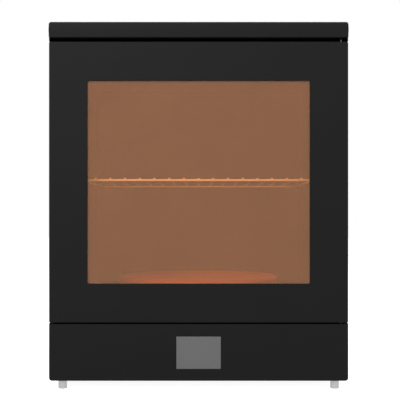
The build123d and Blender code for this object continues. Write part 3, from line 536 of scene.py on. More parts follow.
def eased(
    node: str,
    name: str,
    body: str,
    finish: "Finish",
    ease: float = 0.3 * MM,
    front_ease: float = 0.0,
    steps: int = 2,
    flat_degrees: float = 0.5,
    sharp_degrees: float = 30.0,
) -> bpy.types.Object:
    """Copy a CAD node and break its sharp edges.

    The copy's loose triangles are merged and its flat faces made whole before the edges are bevelled.

    Args:
        node: the CAD node.
        name: the new piece's name.
        body: the CAD body that carries it.
        finish: its finish.
        ease: the bevel's width.
        front_ease: a larger width for the edges round its frontmost face, or 0.
        steps: how many facets the bevel has.
        flat_degrees: the angle under which faces are one.
        sharp_degrees: the angle past which an edge is bevelled.

    Returns:
        The piece.
    """
    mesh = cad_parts[node].data.copy()
    mesh.name = name
    widest = max(ease, front_ease)
    with opened(mesh) as book:
        bmesh.ops.remove_doubles(book, verts=book.verts, dist=MERGE_DISTANCE)
        bmesh.ops.dissolve_limit(book, angle_limit=math.radians(flat_degrees), verts=book.verts, edges=book.edges)
        front = min(vertex.co.y for vertex in book.verts) + MERGE_DISTANCE
        weights = book.edges.layers.float.new("bevel_weight_edge")
        for edge in book.edges:
            edge.smooth = True
            sharp = len(edge.link_faces) == 2 and edge.calc_face_angle(0.0) > math.radians(sharp_degrees)
            foremost = front_ease > 0 and all(vertex.co.y < front for vertex in edge.verts)
            edge[weights] = (1.0 if foremost else ease / widest) if sharp else 0.0
        for face in book.faces:
            face.smooth = True
    piece = enter(name, mesh)
    bevel = piece.modifiers.new("ease", "BEVEL")
    bevel.limit_method, bevel.width, bevel.segments = "WEIGHT", widest, steps
    flatten(piece)
    return settle(piece, body, [finish], (node,))


def dress(body: str, finish: "Finish", *nodes: str) -> None:
    """Give CAD nodes that stay in view a finish.

    Args:
        body: the CAD body that carries them, for the log.
        finish: the finish.
        nodes: names of CAD nodes.
    """
    for node in nodes:
        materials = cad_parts[node].data.materials
        materials.clear()
        materials.append(finish.material())
        LOG.info("%s: %s, on %s, as modelled", node, finish.name, body)


def islands(node: str) -> list[Extent]:
    """Find the separate solids of a CAD node.

    Args:
        node: the node's name.

    Returns:
        Each solid's box, in the order of their middles.
    """
    book = bmesh.new()
    book.from_mesh(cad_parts[node].data)
    bmesh.ops.remove_doubles(book, verts=book.verts, dist=MERGE_DISTANCE)
    waiting, found = set(book.verts), []
    while waiting:
        edge_of_search, corners = [waiting.pop()], []
        while edge_of_search:
            vertex = edge_of_search.pop()
            corners.append(tuple(vertex.co))
            near = {edge.other_vert(vertex) for edge in vertex.link_edges} & waiting
            waiting -= near
            edge_of_search.extend(near)
        found.append(Extent(np.min(corners, axis=0), np.max(corners, axis=0)))
    book.free()
    return sorted(found, key=lambda extent: tuple(np.round(extent.centre, PLACE_DIGITS)))


# ---------------------------------------------------------------- finishes
class NodeSheet:
    """The node tree of a material or a world, with short ways to add what is needed."""

    def __init__(self, owner: bpy.types.Material | bpy.types.World) -> None:
        """Start the owner's tree with nothing but its output.

        Args:
            owner: the material or the world.
        """
        owner.use_nodes = True
        self.tree = owner.node_tree
        self.tree.nodes.clear()
        self.output = self.tree.nodes.new(f"ShaderNodeOutput{type(owner).__name__}")
        self.places: dict[Point, bpy.types.NodeSocket] = {}
        self.noises: dict[tuple[float, float, Point], bpy.types.NodeSocket] = {}

    def add(self, kind: str, **inputs: object) -> bpy.types.Node:
        """Add a node.

        Args:
            kind: the node's type, without its ShaderNode prefix.
            inputs: values or sockets for its inputs, whose names have _ for a space.

        Returns:
            The node.
        """
        node = self.tree.nodes.new(f"ShaderNode{kind}")
        for key, value in inputs.items():
            self.feed(node.inputs[key.replace("_", " ")], value)
        return node

    def feed(self, socket: bpy.types.NodeSocket, value: object) -> None:
        """Give a socket its value.

        Args:
            socket: the socket.
            value: another socket to link it to, or a value to set.
        """
        if isinstance(value, bpy.types.NodeSocket):
            self.tree.links.new(value, socket)
        else:
            socket.default_value = value

    def show(self, surface: bpy.types.NodeSocket) -> None:
        """Link a shader to the output."""
        self.feed(self.output.inputs["Surface"], surface)

    def place(self, stretch: Point = (1.0, 1.0, 1.0)) -> bpy.types.NodeSocket:
        """Give the place on the piece, in metres, from the same nodes each time.

        Args:
            stretch: factors on the three axes; a small one draws a pattern out along its axis.

        Returns:
            The place.
        """
        if stretch not in self.places:
            plain = self.add("TexCoord").outputs["Object"]
            self.places[stretch] = self.add("Mapping", Vector=plain, Scale=stretch).outputs["Vector"]
        return self.places[stretch]

    def noise(self, size: float, detail: float = 2.0, stretch: Point = (1.0, 1.0, 1.0)) -> bpy.types.NodeSocket:
        """Give a noise on the piece, from the same node each time.

        Args:
            size: how large its spots are.
            detail: how many finer octaves it has.
            stretch: factors on the three axes, as for the place.

        Returns:
            The noise.
        """
        key = (size, detail, stretch)
        if key not in self.noises:
            node = self.add("TexNoise", Vector=self.place(stretch), Scale=1.0 / size, Detail=detail)
            self.noises[key] = node.outputs[0]
        return self.noises[key]

    def ramp(
        self, share: bpy.types.NodeSocket, low: Colour, high: Colour, start: float = 0.3, end: float = 0.7
    ) -> bpy.types.NodeSocket:
        """Run from one colour to another.

        Args:
            share: what the colours follow.
            low: the colour up to the start.
            high: the colour from the end.
            start: where the run starts.
            end: where the run ends.

        Returns:
            The colour.
        """
        ramp = self.add("ValToRGB", Fac=share)
        first, last = ramp.color_ramp.elements
        first.position, last.position = start, end
        first.color, last.color = low, high
        return ramp.outputs["Color"]

    def span(
        self, share: bpy.types.NodeSocket, low: float, high: float, start: float = 0.3, end: float = 0.7
    ) -> bpy.types.NodeSocket:
        """Run from one number to another, as ramp does with colours."""
        ranged = self.add("MapRange", Value=share, From_Min=start, From_Max=end, To_Min=low, To_Max=high)
        return ranged.outputs["Result"]

    def maths(self, operation: str, *values: object) -> bpy.types.NodeSocket:
        """Work out a sum.

        Args:
            operation: the Math node's operation.
            values: the values or sockets that go into it.

        Returns:
            The result.
        """
        node = self.add("Math")
        node.operation = operation
        for socket, value in zip(node.inputs, values):
            self.feed(socket, value)
        return node.outputs[0]

    def relief(self, height: bpy.types.NodeSocket, depth: float) -> bpy.types.NodeSocket:
        """Turn a height from 0 to 1 into a bumped normal, with the depth in metres that 1 stands for."""
        return self.add("Bump", Height=height, Distance=depth, Strength=1.0).outputs["Normal"]

    def coat(self, **inputs: object) -> bpy.types.NodeSocket:
        """Add a Principled shader and give its output."""
        return self.add("BsdfPrincipled", **inputs).outputs["BSDF"]

    def blend(self, kind: str, *shaders: bpy.types.NodeSocket, share: object = None) -> bpy.types.NodeSocket:
        """Put two shaders together.

        Args:
            kind: the node's type, MixShader or AddShader.
            shaders: the two shaders.
            share: the second one's share, where they are mixed.

        Returns:
            The shader.
        """
        node = self.add(kind) if share is None else self.add(kind, Fac=share)
        for socket, shader in zip(list(node.inputs)[-2:], shaders):
            self.feed(socket, shader)
        return node.outputs["Shader"]

    def mix(self, share: object, *shaders: bpy.types.NodeSocket) -> bpy.types.NodeSocket:
        """Mix two shaders, by the second one's share."""
        return self.blend("MixShader", *shaders, share=share)

    def seen(self) -> bpy.types.NodeSocket:
        """Tell the rays that show a thing from those that only light by it.

        Returns:
            1 for camera, glossy and transmission rays, and 0 for the rest.
        """
        rays = self.add("LightPath").outputs
        direct = self.maths("MAXIMUM", rays["Is Camera Ray"], rays["Is Glossy Ray"])
        return self.maths("MAXIMUM", direct, rays["Is Transmission Ray"])


def grey(level: float) -> Colour:
    """Give a neutral colour."""
    return (level, level, level, 1.0)


def scaled(colour: Colour, factor: float) -> Colour:
    """Give a colour lighter or darker by a factor."""
    red, green, blue, _ = colour
    return (red * factor, green * factor, blue * factor, 1.0)


@dataclass(frozen=True)
class Finish:
    """A surface finish. Each kind draws its own shader, and a finish makes its material once."""

    name: str
    slot: str

    def draw(self, sheet: NodeSheet) -> bpy.types.NodeSocket:
        """Draw the finish's shader on a sheet, and give its output."""
        raise NotImplementedError

    def material(self) -> bpy.types.Material:
        """Make the finish's material, or find the one made before.

        Returns:
            The material.
        """
        name = f"finish_{self.name}"
        material = bpy.data.materials.get(name)
        if material is None:
            material = bpy.data.materials.new(name)
            sheet = NodeSheet(material)
            sheet.show(self.draw(sheet))
        return material


@dataclass(frozen=True)
class Surface(Finish):
    """An opaque surface: its tone and its gloss drift slowly, over a fine relief."""

    tone: Colour = grey(0.6)
    shades: Span = (0.9, 1.0)
    drift_size: float = 25 * MM
    drift_detail: float = 2.0
    roughness: Span = (0.3, 0.41)
    spot_size: float = 4 * MM
    stretch: Point = (1.0, 1.0, 1.0)
    grain_size: float = 0.4 * MM
    grain_detail: float = 2.0
    grain_depth: float = 0.0
    specular: float = 0.5
    metallic: float = 0.0
    varnish: float = 0.0
    varnish_roughness: float = 0.03

    def draw(self, sheet: NodeSheet) -> bpy.types.NodeSocket:
        """Draw one noise in the tone, one in the gloss and one, where there is a grain, as relief.

        Args:
            sheet: the sheet to draw on.

        Returns:
            The shader.
        """
        drift = sheet.noise(self.drift_size, self.drift_detail, self.stretch)
        inputs = {
            "Base_Color": sheet.ramp(drift, *(scaled(self.tone, shade) for shade in self.shades)),
            "Roughness": sheet.span(sheet.noise(self.spot_size), *self.roughness),
        }
        if self.grain_depth:
            grain = sheet.noise(self.grain_size, self.grain_detail, self.stretch)
            inputs["Normal"] = sheet.relief(grain, self.grain_depth)
        return sheet.coat(
            Metallic=self.metallic,
            Specular_IOR_Level=self.specular,
            Coat_Weight=self.varnish,
            Coat_Roughness=self.varnish_roughness,
            **inputs,
        )


@dataclass(frozen=True)
class PowderCoat(Surface):
    """Baked powder paint: a fine orange peel over a nearly even tone."""

    tone: Colour = grey(0.0087)
    shades: Span = (0.97, 1.03)
    drift_size: float = 90 * MM
    roughness: Span = (0.47, 0.53)
    spot_size: float = 3 * MM
    grain_size: float = 0.9 * MM
    grain_detail: float = 3.0
    grain_depth: float = 0.02 * MM
    specular: float = 0.05


@dataclass(frozen=True)
class Moulding(Surface):
    """Moulded plastic or rubber with a spark-eroded grain."""

    tone: Colour = grey(0.02)
    shades: Span = (0.9, 1.1)
    roughness: Span = (0.39, 0.51)
    grain_size: float = 0.25 * MM
    grain_depth: float = 0.015 * MM
    specular: float = 0.35


@dataclass(frozen=True)
class DrawnMetal(Surface):
    """Rolled, drawn or extruded metal: fine streaks that run along one axis."""

    drift_size: float = 0.4 * MM
    drift_detail: float = 3.0
    spot_size: float = 12 * MM
    stretch: Point = (1.0, 1.0, 0.02)
    grain_detail: float = 3.0
    grain_depth: float = 0.004 * MM
    metallic: float = 1.0


@dataclass(frozen=True)
class PlatedWire(Surface):
    """Chromed wire: satin, with faint ripples from the plating bath."""

    tone: Colour = (0.80, 0.735, 0.70, 1.0)
    shades: Span = (0.94, 1.0)
    drift_size: float = 9 * MM
    roughness: Span = (0.425, 0.6)
    spot_size: float = 9 * MM
    grain_size: float = 3 * MM
    grain_depth: float = 0.006 * MM
    metallic: float = 0.8


@dataclass(frozen=True)
class ScreenGlass(Surface):
    """A touch screen that is asleep: an even grey under a polished cover."""

    tone: Colour = grey(0.088)
    shades: Span = (0.985, 1.015)
    drift_size: float = 30 * MM
    roughness: Span = (0.3, 0.36)
    spot_size: float = 6 * MM
    specular: float = 0.3
    varnish: float = 0.35
    varnish_roughness: float = 0.04


@dataclass(frozen=True)
class TurnedPlate(Finish):
    """A plate finished on a lathe: rings about its own axis, which is the Z axis."""

    tone: Colour = (0.68, 0.137, 0.029, 1.0)
    cloud_size: float = 40 * MM
    cloud_share: float = 0.87
    ring_pitch: float = 0.8 * MM
    ring_depth: float = 0.006 * MM
    ring_wander: float = 0.4
    # Painted shade: past the flat radius the tone falls to a share of itself.
    flat_radius: float = 117 * MM
    rim_blend: float = 1 * MM
    rim_share: float = 0.64
    roughness: Span = (0.35, 0.45)
    specular: float = 0.12

    def draw(self, sheet: NodeSheet) -> bpy.types.NodeSocket:
        """Draw rings by distance from the axis in the gloss and the relief, and a darker rim in the tone, which is
        painted shade.

        At scale 1, a wave texture runs through 20 radians in a unit of length.

        Args:
            sheet: the sheet to draw on.

        Returns:
            The shader.
        """
        place = sheet.place()
        scale = 1.0 / (self.ring_pitch * WAVE_RADIANS / (2 * math.pi))
        wave = sheet.add("TexWave", Vector=place, Scale=scale, Distortion=self.ring_wander, Detail=2.0)
        wave.wave_type, wave.rings_direction = "RINGS", "Z"
        rings = wave.outputs["Fac"]
        across = sheet.add("SeparateXYZ", Vector=place).outputs
        square = sheet.maths("ADD", *(sheet.maths("POWER", across[axis], 2.0) for axis in "XY"))
        # Painted shade: past the flat top the tone falls to a darker rim, which stands in for shade on the shoulder
        # that the lamps light.
        past = sheet.span(square, 1.0, 0.0, self.flat_radius**2, (self.flat_radius + self.rim_blend) ** 2)
        cloud = sheet.span(sheet.noise(self.cloud_size), self.cloud_share, 1.0)
        level = sheet.maths("MULTIPLY", past, cloud)
        return sheet.coat(
            Base_Color=sheet.ramp(level, scaled(self.tone, self.rim_share), self.tone, 0.0, 1.0),
            Roughness=sheet.span(rings, *self.roughness, 0.0, 1.0),
            Specular_IOR_Level=self.specular,
            Normal=sheet.relief(rings, self.ring_depth),
        )


@dataclass(frozen=True)
class AmberPane(Finish):
    """Tinted acrylic that stops short wavelengths: light passes tinted, over a faint even haze."""

    passed: Colour = (0.99, 0.80, 0.60, 1.0)
    haze: Colour = (0.730, 0.332, 0.149, 1.0)
    haze_roughness: float = 0.5
    haze_shades: Span = (0.99, 1.01)
    haze_shares: Span = (0.116, 0.124)
    drift_size: float = 60 * MM
    mirror_at_front: float = 0.035
    mirror_growth: float = 0.6
    mirror_roughness: float = 0.04
    slant_blend: float = 0.5
    slant_power: float = 5.0

    def draw(self, sheet: NodeSheet) -> bpy.types.NodeSocket:
        """Draw the tint and haze under a mirror that grows with the fifth power of the slant.

        Args:
            sheet: the sheet to draw on.

        Returns:
            The shader.
        """
        drift = sheet.noise(self.drift_size)
        clear = sheet.add("BsdfTransparent", Color=self.passed).outputs["BSDF"]
        fog = sheet.coat(
            Base_Color=sheet.ramp(drift, *(scaled(self.haze, shade) for shade in self.haze_shades)),
            Roughness=self.haze_roughness,
            Specular_IOR_Level=0.0,
        )
        tinted = sheet.mix(sheet.span(drift, *self.haze_shares), clear, fog)
        mirror = sheet.add("BsdfAnisotropic", Roughness=self.mirror_roughness).outputs["BSDF"]
        slant = sheet.add("LayerWeight", Blend=self.slant_blend).outputs["Facing"]
        steep = sheet.maths("POWER", slant, self.slant_power)
        mirrored = sheet.maths("MULTIPLY_ADD", steep, self.mirror_growth, self.mirror_at_front)
        return sheet.mix(mirrored, tinted, mirror)


@dataclass(frozen=True)
class ClearCover(Finish):
    """Thin clear acrylic over the lamps."""

    passed: Colour = (0.96, 0.97, 0.98, 1.0)
    face: Span = (0.25, 0.3)
    face_shares: Span = (0.02, 0.2)
    roughness: float = 0.06
    drift_size: float = 20 * MM
    slant_blend: float = 0.35

    def draw(self, sheet: NodeSheet) -> bpy.types.NodeSocket:
        """Draw a clear sheet whose glossy face shows more where it is seen from the side.

        Args:
            sheet: the sheet to draw on.

        Returns:
            The shader.
        """
        clear = sheet.add("BsdfTransparent", Color=self.passed).outputs["BSDF"]
        drift = sheet.noise(self.drift_size)
        face = sheet.coat(Base_Color=sheet.ramp(drift, *map(grey, self.face)), Roughness=self.roughness)
        slant = sheet.add("LayerWeight", Blend=self.slant_blend).outputs["Facing"]
        return sheet.mix(sheet.span(slant, *self.face_shares, 0.0, 1.0), clear, face)


@dataclass(frozen=True)
class CircuitBoard(Finish):
    """Solder mask over copper: a grid of slightly raised tracks between lands."""

    mask: Colour = (0.02, 0.12, 0.04, 1.0)
    track: Colour = (0.04, 0.2, 0.07, 1.0)
    track_pitch: float = 5 * MM
    track_disorder: float = 0.55
    track_edge: Span = (0.42, 0.46)
    track_height: float = 0.03 * MM
    roughness: Span = (0.3, 0.42)
    spot_size: float = 2 * MM

    def draw(self, sheet: NodeSheet) -> bpy.types.NodeSocket:
        """Draw tracks as the edges of square cells.

        Args:
            sheet: the sheet to draw on.

        Returns:
            The shader.
        """
        scale = 1.0 / self.track_pitch
        cells = sheet.add("TexVoronoi", Vector=sheet.place(), Scale=scale, Randomness=self.track_disorder)
        cells.distance, cells.feature = "CHEBYCHEV", "F1"
        tracks = cells.outputs["Distance"]
        return sheet.coat(
            Base_Color=sheet.ramp(tracks, self.mask, self.track, *self.track_edge),
            Roughness=sheet.span(sheet.noise(self.spot_size), *self.roughness),
            Normal=sheet.relief(sheet.span(tracks, 0.0, 1.0, *self.track_edge), self.track_height),
        )


class Finishes:
    """The cabinet's own finishes."""

    HOUSING = PowderCoat("housing_powder_coat", "housing_paint")
    LINING = PowderCoat("chamber_enamel", "chamber_lining", tone=grey(0.012), roughness=(0.57, 0.63))
    SCREEN = ScreenGlass("screen_glass", "screen_glass")
    FOOT = DrawnMetal("foot_aluminium", "foot_metal", tone=grey(0.515), stretch=(1, 1, 6))
    SCREW = DrawnMetal(
        "screw_zinc", "screw_steel", tone=(0.5, 0.5, 0.48, 1.0), stretch=(1, 1, 1), roughness=(0.29, 0.4)
    )
    DARK_SCREW = DrawnMetal(
        "screw_black_oxide", "screw_steel", tone=grey(0.06), stretch=(1, 1, 1), roughness=(0.35, 0.46)
    )
    PRESSED = DrawnMetal("pressed_zinc_sheet", "screw_steel", tone=(0.55, 0.56, 0.55, 1.0), stretch=(0.03, 1, 1))
    DARK_PIN = DrawnMetal("pin_black_oxide", "pin_steel", tone=grey(0.03), roughness=(0.25, 0.36))
    PIN = DrawnMetal("ground_pin", "pin_steel", tone=grey(0.55), roughness=(0.17, 0.28))
    PLASTIC = Moulding("black_moulding", "black_plastic")
    ELECTRONICS = Moulding("electronics_moulding", "electronics_plastic", tone=grey(0.035))
    RUBBER = Moulding(
        "seal_rubber", "seal_rubber", tone=grey(0.012), roughness=(0.64, 0.76), grain_size=0.6 * MM
    )
    MARK = Moulding("switch_mark", "black_plastic", tone=grey(0.7), roughness=(0.44, 0.56))
    PANE = AmberPane("amber_acrylic", "amber_pane")
    COVER = ClearCover("lamp_cover", "clear_cover")
    LAMP_BOARD = CircuitBoard(
        "lamp_board", "circuit_board", mask=grey(0.5), track=grey(0.58), track_pitch=10 * MM
    )
    MAIN_BOARD = CircuitBoard("main_board", "circuit_board")
    LAMP_BODY = Moulding("lamp_ceramic", "led_package", tone=grey(0.7), roughness=(0.29, 0.41))
    LAMP_LENS = Moulding("lamp_lens", "led_package", tone=(0.62, 0.55, 0.22, 1.0), roughness=(0.06, 0.18))
    HEATSINK = DrawnMetal("extruded_aluminium", "heatsink_metal", tone=grey(0.66))
    RACK = PlatedWire("chromed_wire", "rack_wire")
    # Painted shade: the cross wires take a dark copy of the chrome, so that they stay dark seen from below.
    RACK_WIRE = PlatedWire(
        "rack_wire_painted_shade", "rack_wire", tone=(0.36, 0.36, 0.37, 1.0), roughness=(0.153, 0.216), metallic=1.0
    )
    # The weld beads are real, but their pale, half-matte copy of the chrome is painted highlight on the bumps.
    WELD = PlatedWire(
        "rack_weld_bead_painted_highlight", "rack_wire", tone=(0.95, 0.80, 0.72, 1.0), roughness=(0.357, 0.504), metallic=0.4
    )
    DISC = TurnedPlate("orange_disc", "disc_metal")
    BRASS = DrawnMetal("contact_brass", "contact_brass", tone=(0.75, 0.56, 0.24, 1.0), stretch=(1, 0.05, 1))


# ---------------------------------------------------------------- fasteners
@dataclass(frozen=True)
class Screw:
    """A machine screw: a raised or a flat head with a cross recess, and a plain shank."""

    length: float
    flat_head: bool = False
    head_radius: float = 3.0 * MM
    head_height: float = 1.5 * MM
    shank_radius: float = 1.5 * MM
    flat_edge: float = 0.1 * MM
    crown_edge: float = 0.5 * MM
    rim_edge: float = 0.15 * MM
    flat_share: float = 0.7
    crown_share: float = 0.66
    crown_height_share: float = 0.75
    arm_length_share: float = 0.62
    arm_width_share: float = 0.16
    recess_depth_share: float = 0.65
    recess_floor_share: float = 0.75
    least_sine: float = 1e-3
    sides: int = 32

    def recess(self) -> np.ndarray:
        """Work out the recess's edge as a radius for each side.

        It is the nearer of an arm's end, at its length over the cosine, and an arm's flank, at its half width
        over the sine.

        Returns:
            The radii.
        """
        from_arm = np.abs((circle(self.sides) + QUARTER_TURN / 2) % QUARTER_TURN - QUARTER_TURN / 2)
        arm_end = self.arm_length_share * self.head_radius / np.cos(from_arm)
        arm_flank = self.arm_width_share * self.head_radius / np.maximum(np.sin(from_arm), self.least_sine)
        return np.minimum(arm_end, arm_flank)

    def grid(self, seat: np.ndarray, facing: Facing) -> np.ndarray:
        """Work out the screw, with its head towards the positive side.

        Args:
            seat: where the head's underside meets the shank's axis, or a flat head's top.
            facing: the plane that it is driven into.

        Returns:
            A grid of points.
        """
        head, shank = self.head_radius, self.shank_radius
        if self.flat_head:
            top = 0.0
            corners = [(self.flat_share * head, top), (head, top), (shank, shank - head)]
            section = soften([*corners, (shank, -self.length)], [0, self.flat_edge, self.flat_edge, 0], steps=2)
        else:
            top = self.head_height
            corners = [(self.crown_share * head, top), (head, self.crown_height_share * top), (head, 0.0)]
            radii = [0, self.crown_edge, self.rim_edge, 0, 0]
            section = soften([*corners, (shank, 0.0), (shank, -self.length)], radii, steps=3)
        rim, floor = self.recess(), top - self.recess_depth_share * self.head_height
        level = np.concatenate([[floor, floor, top], section[:, 1], [-self.length]])
        recess = [0.0 * rim, self.recess_floor_share * rim, rim]
        radius = np.vstack([*recess, np.tile(section[:, :1], self.sides), 0.0 * rim])
        flat = polar(radius, circle(self.sides)) + seat[facing.plane]
        return stand(flat, level[:, None] + seat[facing.normal], facing)


def fasten(node: str, name: str, body: str, finish: Finish, facing: Facing, flat_head: bool = False) -> None:
    """Put real screws where a CAD node has plain ones.

    Args:
        node: the node of plain screws.
        name: the new piece's name.
        body: the CAD body that carries them.
        finish: their finish.
        facing: the plane that they are driven into.
        flat_head: whether the heads are flat.
    """
    draft = MeshDraft()
    for box in islands(node):
        seat, (low, high) = box.centre, box.span(facing.normal)
        seat[facing.normal] = high - (0.0 if flat_head else Screw.head_height)
        draft.add(Screw(seat[facing.normal] - low, flat_head).grid(seat, facing))
    publish(draft, name, body, [finish], node)


# ---------------------------------------------------------------- sub-assemblies
@dataclass
class Housing:
    """The fixed sheet-metal body: cover, panels, fascia and feet."""

    cover_wall: float = 2.0 * MM
    cover_corner: float = 3.0 * MM
    cover_top_edge: float = 3.6 * MM
    cover_lower_edge: float = 1.4 * MM
    cover_inner_edges: Span = (1.0 * MM, 0.3 * MM)
    cover_tuck: float = 0.45 * MM
    cover_swell: float = 60 * MM
    cover_steps: int = 6
    cover_crease_degrees: float = 50.0
    tab_thickness: float = 1.0 * MM
    tab_setback: float = 1.0 * MM
    tab_corner: float = 0.3 * MM
    tab_edges: Span = (0.2 * MM, 0.2 * MM)
    fascia_edge: float = 1.1 * MM
    foot_edges: Span = (0.9 * MM, 0.2 * MM)

    def cover(self) -> None:
        """Build the top cover: its side swells a little between a tucked lower edge and a rounded top edge."""
        box = Extent.of("top_cover")
        outline = Outline.of(box, Facing.LEVEL, self.cover_corner)
        low, high = Extent.of("top_plate").low[2], box.high[2]
        ceiling = high - self.cover_wall
        centre = outline.half.max()
        corners = [(centre, ceiling), (self.cover_wall, ceiling), (self.cover_wall, low), (self.cover_tuck, low)]
        corners += [(0.0, (low + high) / 2), (self.cover_tuck, high), (centre, high)]
        radii = [0, *self.cover_inner_edges, self.cover_lower_edge, self.cover_swell, self.cover_top_edge, 0]
        draft = MeshDraft(carried(outline, soften(corners, radii, self.cover_steps), Facing.LEVEL))
        side = Extent.of("door_skin").high[0]
        reach = (box.low[1] + self.tab_setback, Extent.of("front_bezel").low[1] - self.tab_setback)
        middle = (box.low[2] + low + self.cover_lower_edge) / 2
        half = np.array([(reach[1] - reach[0]) / 2, middle - box.low[2]])
        tab = Outline(np.array([sum(reach) / 2, middle]), half, self.tab_corner)
        for levels in ((-side, self.tab_thickness - side), (side - self.tab_thickness, side)):
            draft.add(plate(tab, levels, self.tab_edges, Facing.SIDE, steps=2))
        crease = self.cover_crease_degrees
        publish(draft, "top_cover_shell", "root", [Finishes.HOUSING], "top_cover", crease_degrees=crease)

    def build(self) -> None:
        """Build the whole housing: the cover, the folded sheets, the feet and the screws."""
        self.cover()
        for node in ("left_side_panel", "right_side_panel", "rear_panel", "front_bezel", "base_plate"):
            eased(node, f"{node}_sheet", "root", Finishes.HOUSING)
        eased("lower_fascia", "lower_fascia_sheet", "root", Finishes.HOUSING, front_ease=self.fascia_edge, steps=3)
        dress("root", Finishes.HOUSING, "top_plate")
        feet = MeshDraft(*(post(box, Facing.LEVEL, self.foot_edges) for box in islands("feet")))
        publish(feet, "turned_feet", "root", [Finishes.FOOT], "feet")
        fasten("panel_screws", "panel_screws_cross", "root", Finishes.DARK_SCREW, Facing.FRONT)
        fasten("foot_screws", "foot_screws_cross", "root", Finishes.SCREW, Facing.LEVEL)


@dataclass
class ControlPanel:
    """The touch screen in the fascia, and its display module."""

    corner: float = 0.6 * MM
    edges: Span = (0.1 * MM, 0.35 * MM)

    def build(self) -> None:
        """Build the glass as a plate with ground edges."""
        box = Extent.of("touch_screen")
        outline = Outline.of(box, Facing.FRONT, self.corner)
        glass = plate(outline, box.span(1)[::-1], self.edges, Facing.FRONT, steps=3)
        publish(MeshDraft(glass), "touch_screen_glass", "root", [Finishes.SCREEN], "touch_screen")
        dress("root", Finishes.ELECTRONICS, "display_module")


@dataclass
class Door:
    """The door that swings: skin, pane, clamp, liner and their fasteners."""

    sheet: float = 1.5 * MM
    corner: float = 1.5 * MM
    edge: float = 1.1 * MM
    flange_edges: Point = (0.3 * MM, 0.3 * MM, 0.5 * MM)
    section_steps: int = 4
    window_lap: float = 8.0 * MM
    window_corner: float = 2.0 * MM
    window_edges: Span = (0.1 * MM, 0.4 * MM)
    pane_corner: float = 1.0 * MM
    pane_edges: Span = (0.3 * MM, 0.3 * MM)

    def skin(self) -> None:
        """Build the skin: a pan whose section runs from the window's lip over the face and round its flange."""
        box = Extent.of("door_skin")
        outer = Outline.of(box, Facing.FRONT, self.corner)
        window = Outline.of(Extent.of("door_window"), Facing.FRONT, self.window_corner, -self.window_lap)
        front, rear = box.span(1)
        back, inside = front + self.sheet, -2 * self.window_edges[1]
        lip = [(inside, back), (0.0, back), (0.0, front), (inside, front)]
        flange = [(2 * self.edge, front), (0.0, front), (0.0, rear)]
        flange += [(self.sheet, rear), (self.sheet, back), (2 * self.sheet, back)]
        rings = [
            carried(window, soften(lip, [0, *self.window_edges, 0], self.section_steps), Facing.FRONT),
            carried(outer, soften(flange, [0, self.edge, *self.flange_edges, 0], self.section_steps), Facing.FRONT),
        ]
        draft = MeshDraft()
        draft.add(np.concatenate(rings), loop_rows=True)
        publish(draft, "door_skin_shell", "door", [Finishes.HOUSING], "door_skin")

    def build(self) -> None:
        """Build the whole door."""
        self.skin()
        box = Extent.of("door_window")
        outline = Outline.of(box, Facing.FRONT, self.pane_corner)
        pane = plate(outline, box.span(1)[::-1], self.pane_edges, Facing.FRONT, steps=2)
        publish(MeshDraft(pane), "amber_window_pane", "door", [Finishes.PANE], "door_window")
        eased("window_clamp", "window_clamp_frame", "door", Finishes.PLASTIC)
        eased("door_liner", "door_liner_sheet", "door", Finishes.HOUSING)
        eased("hinge_blocks", "hinge_blocks_moulded", "door", Finishes.PLASTIC)
        fasten("door_screws", "door_screws_cross", "door", Finishes.DARK_SCREW, Facing.FRONT)


@dataclass
class DoorFittings:
    """What meets the door on the body: hinge pins, brackets, seal, catches and sensor."""

    seal_corner: float = 6.0 * MM
    seal_width: float = 7.0 * MM
    seal_bulb: float = 2.2 * MM
    seal_foot: float = 0.3 * MM
    pin_edges: Span = (0.6 * MM, 0.6 * MM)
    pin_sides: int = 32
    catch_skin: float = 0.25 * MM
    catch_corner: float = 1.0 * MM
    catch_edge: float = 0.5 * MM
    pole_width: float = 1.4 * MM
    pole_spread: float = 2.6 * MM
    pole_margin: float = 2.5 * MM
    pole_corner: float = 0.2 * MM
    pole_edge: float = 0.15 * MM

    def seal(self) -> None:
        """Build the seal: a flat foot with a rounded bulb, carried round the chamber's mouth."""
        box = Extent.of("door_seal")
        front, back = box.span(1)
        corners = [(0.0, back), (0.0, front), (self.seal_width, front), (self.seal_width, back)]
        section = looped(corners, [self.seal_foot, self.seal_bulb, self.seal_bulb, self.seal_foot])
        draft = MeshDraft()
        outline = Outline.of(box, Facing.FRONT, self.seal_corner)
        draft.add(carried(outline, section, Facing.FRONT), loop_rows=True)
        publish(draft, "chamber_seal", "root", [Finishes.RUBBER], "door_seal")

    def catches(self) -> None:
        """Build each catch: a moulded block with two steel poles that stand just proud of it."""
        blocks, poles = MeshDraft(), MeshDraft()
        for box in islands("magnet_catches"):
            front, back = box.span(1)
            outline = Outline.of(box, Facing.FRONT, self.catch_corner)
            blocks.add(plate(outline, (back, front + self.catch_skin), (0, self.catch_edge), Facing.FRONT))
            for side in (-1, 1):
                middle = outline.centre + np.array([side * self.pole_spread, 0.0])
                half = np.array([self.pole_width / 2, outline.half[1] - self.pole_margin])
                pole = Outline(middle, half, self.pole_corner)
                poles.add(plate(pole, (back, front), (0, self.pole_edge), Facing.FRONT, steps=2))
        publish(blocks, "catch_blocks", "root", [Finishes.PLASTIC], "magnet_catches")
        publish(poles, "catch_poles", "root", [Finishes.PRESSED])

    def build(self) -> None:
        """Build every fitting."""
        self.seal()
        boxes = islands("hinge_pins")
        pins = MeshDraft(*(post(box, Facing.LEVEL, self.pin_edges, sides=self.pin_sides) for box in boxes))
        publish(pins, "hinge_pins_turned", "root", [Finishes.DARK_PIN], "hinge_pins")
        self.catches()
        eased("hinge_brackets", "hinge_bracket_plates", "root", Finishes.PRESSED)
        dress("root", Finishes.DARK_PIN, "thrust_washer")
        dress("root", Finishes.ELECTRONICS, "reed_sensor")


